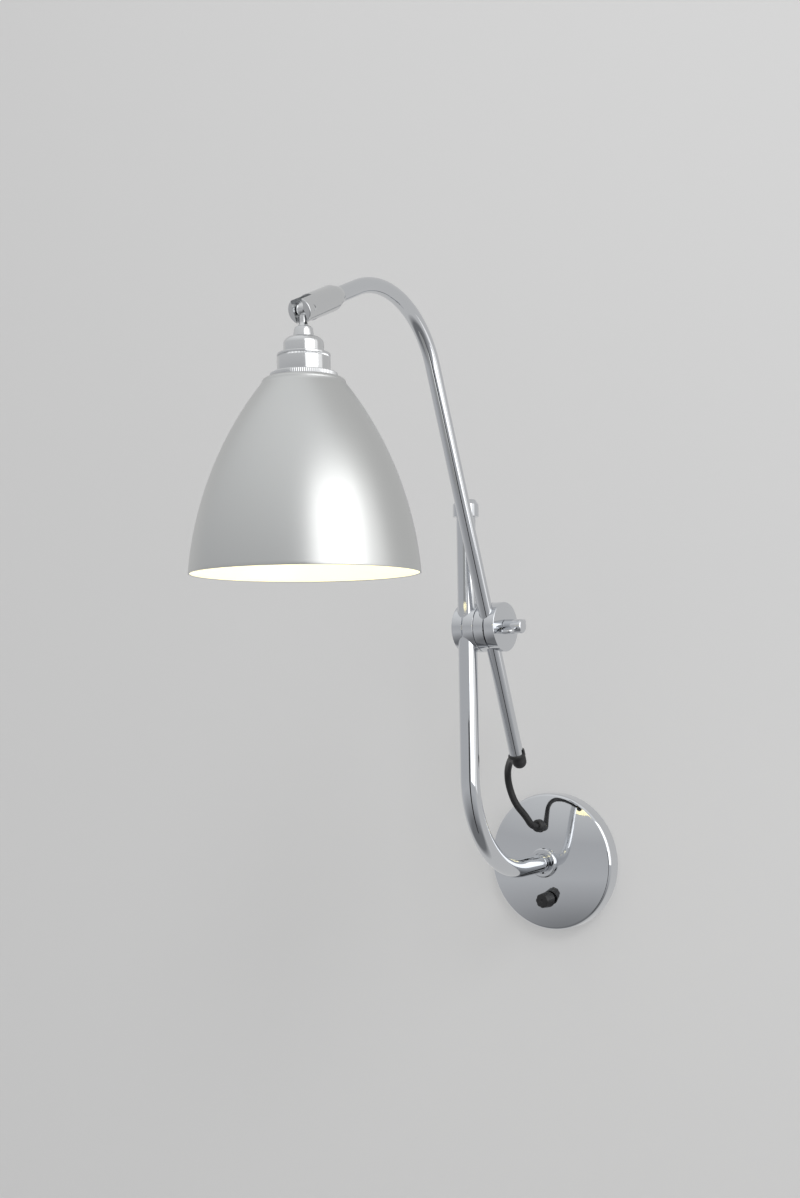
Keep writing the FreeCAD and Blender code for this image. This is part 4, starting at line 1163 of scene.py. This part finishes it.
class LAMP_OT_fittings(bpy.types.Operator):
    """Gives the solids that stay as they are the finish of their slot"""

    bl_idname = "lamp.fittings"
    bl_label = "Fittings"

    def execute(self, context):
        slots = {part["node"]: part["material_slot"] for part in frame["record"]["subparts"]}
        # The switch nut is given blackened steel as painted shade, so that the gap under the knob stays
        # dark.
        slots.update(swivel_tongue="satin_chrome", knuckle_pin="satin_chrome", switch_nut="dark_steel")
        for name, piece in frame["nodes"].items():
            slot = slots[name]
            material = finish("black_rubber" if slot == "black_flex" else slot)
            if piece.material_slots:
                for place in piece.material_slots:
                    place.material = material
            else:
                piece.data.materials.append(material)
        return {"FINISHED"}


# ---------------------------------------------------------------- stage

# The soft lights all face a point by the head: name, place, width, height, radiance, and whether they
# show in reflections.
LIGHTS_AIM = (0.02, -0.36, 0.28)
SOFTBOXES = [
    ("right_softbox", (1.40, -0.80, 0.62), 1.45, 1.70, 1.55, True),
    ("side_softbox", (1.62, 0.25, 0.62), 0.65, 1.70, 0.50, True),
    ("top_softbox", (0.10, -0.90, 1.75), 1.50, 1.50, 1.00, False),
    ("key_softbox", (1.60, -2.20, 2.00), 0.80, 0.80, 9.00, False),
]
SKY_STRENGTH = 0.70
# What the chrome mirrors of the room, from straight down at 0 to straight up at 1, and the wall's grey.
ROOM_TONES = [
    (0.12, "#7A7B7D"),
    (0.25, "#AAABAD"),
    (0.36, "#C2C3C5"),
    (0.55, "#BCBDBF"),
    (0.70, "#D2D3D4"),
    (0.95, "#F0F1F2"),
]
ROOM_WALL = "#CDCDCD"
# The share of the wall's tone that is plain to the camera, whatever light falls on it.
WALL_EVENNESS = 0.45


def one_sided(name, code, evenness):
    """Matt paint on the backdrop. It shows only from its front, so that the lamp's back can be seen
    from behind the wall, and part of its tone is plain to the camera, which keeps it even."""
    material = bpy.data.materials.new(name)
    material.use_nodes = True
    tree = material.node_tree
    tree.nodes.clear()
    out = add(tree, "ShaderNodeOutputMaterial")
    paint = add(tree, "ShaderNodeBsdfDiffuse", {"Color": linear(code)})
    plain = add(tree, "ShaderNodeEmission", {"Color": linear(code), "Strength": 1.0})
    path = add(tree, "ShaderNodeLightPath")
    seen = add(tree, "ShaderNodeMath", {0: path.outputs["Is Camera Ray"], 1: evenness},
               operation="MULTIPLY")
    even = add(tree, "ShaderNodeMixShader", {0: seen.outputs[0], 1: paint.outputs[0], 2: plain.outputs[0]})
    back = add(tree, "ShaderNodeNewGeometry").outputs["Backfacing"]
    clear = add(tree, "ShaderNodeBsdfTransparent")
    whole = add(tree, "ShaderNodeMixShader", {0: back, 1: even.outputs[0], 2: clear.outputs[0]})
    feed(tree, out, {"Surface": whole.outputs[0]})
    return material


def sheet(name, corners, material):
    """A flat four-cornered sheet of the stage, in metres."""
    mesh = bpy.data.meshes.new(name)
    mesh.from_pydata(corners, [], [(0, 1, 2, 3)])
    mesh.materials.append(material)
    piece = bpy.data.objects.new(name, mesh)
    bpy.context.scene.collection.objects.link(piece)
    return piece


def placed(thing, x, y, z, place):
    """Puts a light or the camera at a place, with its own axes along x, y and z."""
    rows = [(*row, at) for row, at in zip(np.stack([x, y, z], axis=1), place)]
    thing.matrix_world = Matrix(rows + [(0, 0, 0, 1)])


def softbox(name, place, aim, width, height, radiance):
    """An area light whose face has the given brightness: power = radiance * pi * area."""
    light = bpy.data.lights.new(name, "AREA")
    light.shape = "RECTANGLE"
    light.size = width
    light.size_y = height
    light.energy = radiance * math.pi * width * height
    lamp = bpy.data.objects.new(name, light)
    bpy.context.scene.collection.objects.link(lamp)
    back = np.asarray(place, float) - np.asarray(aim, float)
    back = back / np.linalg.norm(back)
    right = np.cross(UP, back)
    right = right / np.linalg.norm(right)
    placed(lamp, right, np.cross(back, right), back, place)
    return lamp


class LAMP_OT_stage(bpy.types.Operator):
    """Makes the wall, the floor, the soft light and the camera"""

    bl_idname = "lamp.stage"
    bl_label = "Stage"

    def execute(self, context):
        scene = context.scene
        look = scene.lamp_stage
        paint = one_sided("matt wall paint", look.wall, WALL_EVENNESS)
        gap, left, right, low, high = 0.0004, -3, 3, -2, 3
        floor, front = -1.4, -4
        for name, corners in (
            ("wall", [(left, gap, low), (right, gap, low), (right, gap, high), (left, gap, high)]),
            ("floor", [(left, 0, floor), (left, front, floor), (right, front, floor), (right, 0, floor)]),
        ):
            sheet(name, corners, paint).visible_glossy = False
        self.world(scene, look)
        for name, place, width, height, radiance, in_reflections in SOFTBOXES:
            light = softbox(name, place, LIGHTS_AIM, width, height, radiance)
            light.visible_glossy = in_reflections
        self.flag("camera_flag", (0.64, -1.33, -1.2), width=0.30, height=2.6)
        self.camera(scene, look)
        scene.view_settings.view_transform = "Standard"
        return {"FINISHED"}

    def world(self, scene, look):
        """Even grey to the camera. In reflections the room in front runs from a dark floor up to a
        pale ceiling, with the wall's grey behind, and everything else is lit by a plain grey sky."""
        world = bpy.data.worlds.new("studio")
        scene.world = world
        world.use_nodes = True
        tree = world.node_tree
        tree.nodes.clear()
        out = add(tree, "ShaderNodeOutputWorld")
        way = add(tree, "ShaderNodeTexCoord").outputs["Generated"]
        parts = add(tree, "ShaderNodeSeparateXYZ", {"Vector": way})
        rise = add(tree, "ShaderNodeMapRange", {
            "Value": parts.outputs["Z"], "From Min": -1.0, "From Max": 1.0})
        tone = add(tree, "ShaderNodeValToRGB", {"Fac": rise.outputs["Result"]})
        steps = tone.color_ramp.elements
        for step, (position, code) in zip(steps, (ROOM_TONES[0], ROOM_TONES[-1])):
            step.position = position
            step.color = linear(code)
        for position, code in ROOM_TONES[1:-1]:
            steps.new(position).color = linear(code)
        behind = add(tree, "ShaderNodeMapRange", {
            "Value": parts.outputs["Y"], "From Min": -0.10, "From Max": 0.15, "To Min": 0.0, "To Max": 1.0})
        room = add(tree, "ShaderNodeMix", {
            0: behind.outputs["Result"], 6: tone.outputs["Color"], 7: linear(ROOM_WALL)}, data_type="RGBA")
        path = add(tree, "ShaderNodeLightPath")
        mirror = add(tree, "ShaderNodeBackground", {"Color": room.outputs[2], "Strength": 1.0})
        seen = add(tree, "ShaderNodeBackground", {"Color": linear(look.wall), "Strength": 1.0})
        sky = add(tree, "ShaderNodeBackground", {"Color": (1, 1, 1, 1), "Strength": SKY_STRENGTH})
        lit = add(tree, "ShaderNodeMixShader", {
            0: path.outputs["Is Glossy Ray"], 1: sky.outputs[0], 2: mirror.outputs[0]})
        both = add(tree, "ShaderNodeMixShader", {
            0: path.outputs["Is Camera Ray"], 1: lit.outputs[0], 2: seen.outputs[0]})
        feed(tree, out, {"Surface": both.outputs[0]})

    def flag(self, name, place, width, height):
        """An upright black card facing the lamp from behind the camera. Only reflections show it, as
        the dark line down the chrome."""
        material = bpy.data.materials.new("black card")
        material.use_nodes = True
        tree = material.node_tree
        feed(tree, tree.nodes["Principled BSDF"], {"Base Color": linear("#0A0A0A"), "Roughness": 0.9})
        x, y = place[:2]
        side = np.array([y, -x, 0.0]) / math.hypot(x, y) * width / 2
        base = np.array(place)
        up = UP * height / 2
        corners = [base - side - up, base + side - up, base + side + up, base - side + up]
        card = sheet(name, [tuple(corner) for corner in corners], material)
        card.visible_camera = False
        card.visible_diffuse = False
        card.visible_shadow = False

    def camera(self, scene, look):
        """A 66 mm lens at the fitted place: yaw, then pitch, then roll about the line of sight."""
        data = bpy.data.cameras.new("camera")
        data.sensor_fit = "HORIZONTAL"
        data.sensor_width = 36.0
        data.lens = 66.18
        data.shift_y = -0.0472
        data.clip_end = 20.0
        camera = bpy.data.objects.new("camera", data)
        scene.collection.objects.link(camera)
        yaw, pitch, roll = look.camera_yaw, look.camera_pitch, look.camera_roll
        ahead = np.array([
            -math.sin(yaw) * math.cos(pitch),
            math.cos(yaw) * math.cos(pitch),
            math.sin(pitch),
        ])
        right = np.array([math.cos(yaw), math.sin(yaw), 0.0])
        up = np.cross(right, ahead)
        x = math.cos(roll) * right + math.sin(roll) * up
        y = -math.sin(roll) * right + math.cos(roll) * up
        placed(camera, x, y, -ahead, look.camera_place)
        scene.camera = camera


class LAMP_PT_panel(bpy.types.Panel):
    """Lists the lamp's pieces, sizes and colours"""

    bl_idname = "LAMP_PT_panel"
    bl_label = "Wall lamp"
    bl_space_type = "VIEW_3D"
    bl_region_type = "UI"
    bl_category = "Wall lamp"

    def draw(self, context):
        for group in ("lamp_sizes", "lamp_finishes", "lamp_stage"):
            box = self.layout.box()
            settings = getattr(context.scene, group)
            for name in settings.__annotations__:
                box.prop(settings, name)
        for operator in PIECES:
            self.layout.operator(operator.bl_idname)


PIECES = (
    LAMP_OT_stage,
    LAMP_OT_flex,
    LAMP_OT_wall_plate,
    LAMP_OT_grommet,
    LAMP_OT_switch,
    LAMP_OT_lower_arm,
    LAMP_OT_clamp,
    LAMP_OT_wing_nut,
    LAMP_OT_upper_arm,
    LAMP_OT_boot,
    LAMP_OT_knuckle,
    LAMP_OT_holder,
    LAMP_OT_shade,
    LAMP_OT_fittings,
)
CLASSES = (LampSizes, LampFinishes, LampStage) + PIECES + (LAMP_PT_panel,)


def register():
    """Adds the classes and the lamp's settings to the session."""
    for part in CLASSES:
        bpy.utils.register_class(part)
    bpy.types.Scene.lamp_sizes = PointerProperty(type=LampSizes)
    bpy.types.Scene.lamp_finishes = PointerProperty(type=LampFinishes)
    bpy.types.Scene.lamp_stage = PointerProperty(type=LampStage)


def unregister():
    """Takes the settings and the classes away again."""
    del bpy.types.Scene.lamp_stage
    del bpy.types.Scene.lamp_finishes
    del bpy.types.Scene.lamp_sizes
    for part in reversed(CLASSES):
        bpy.utils.unregister_class(part)


def main():
    """Makes every piece and the stage."""
    register()
    for operator in PIECES:
        group, name = operator.bl_idname.split(".")
        getattr(getattr(bpy.ops, group), name)()


if __name__ == "__main__":
    main()
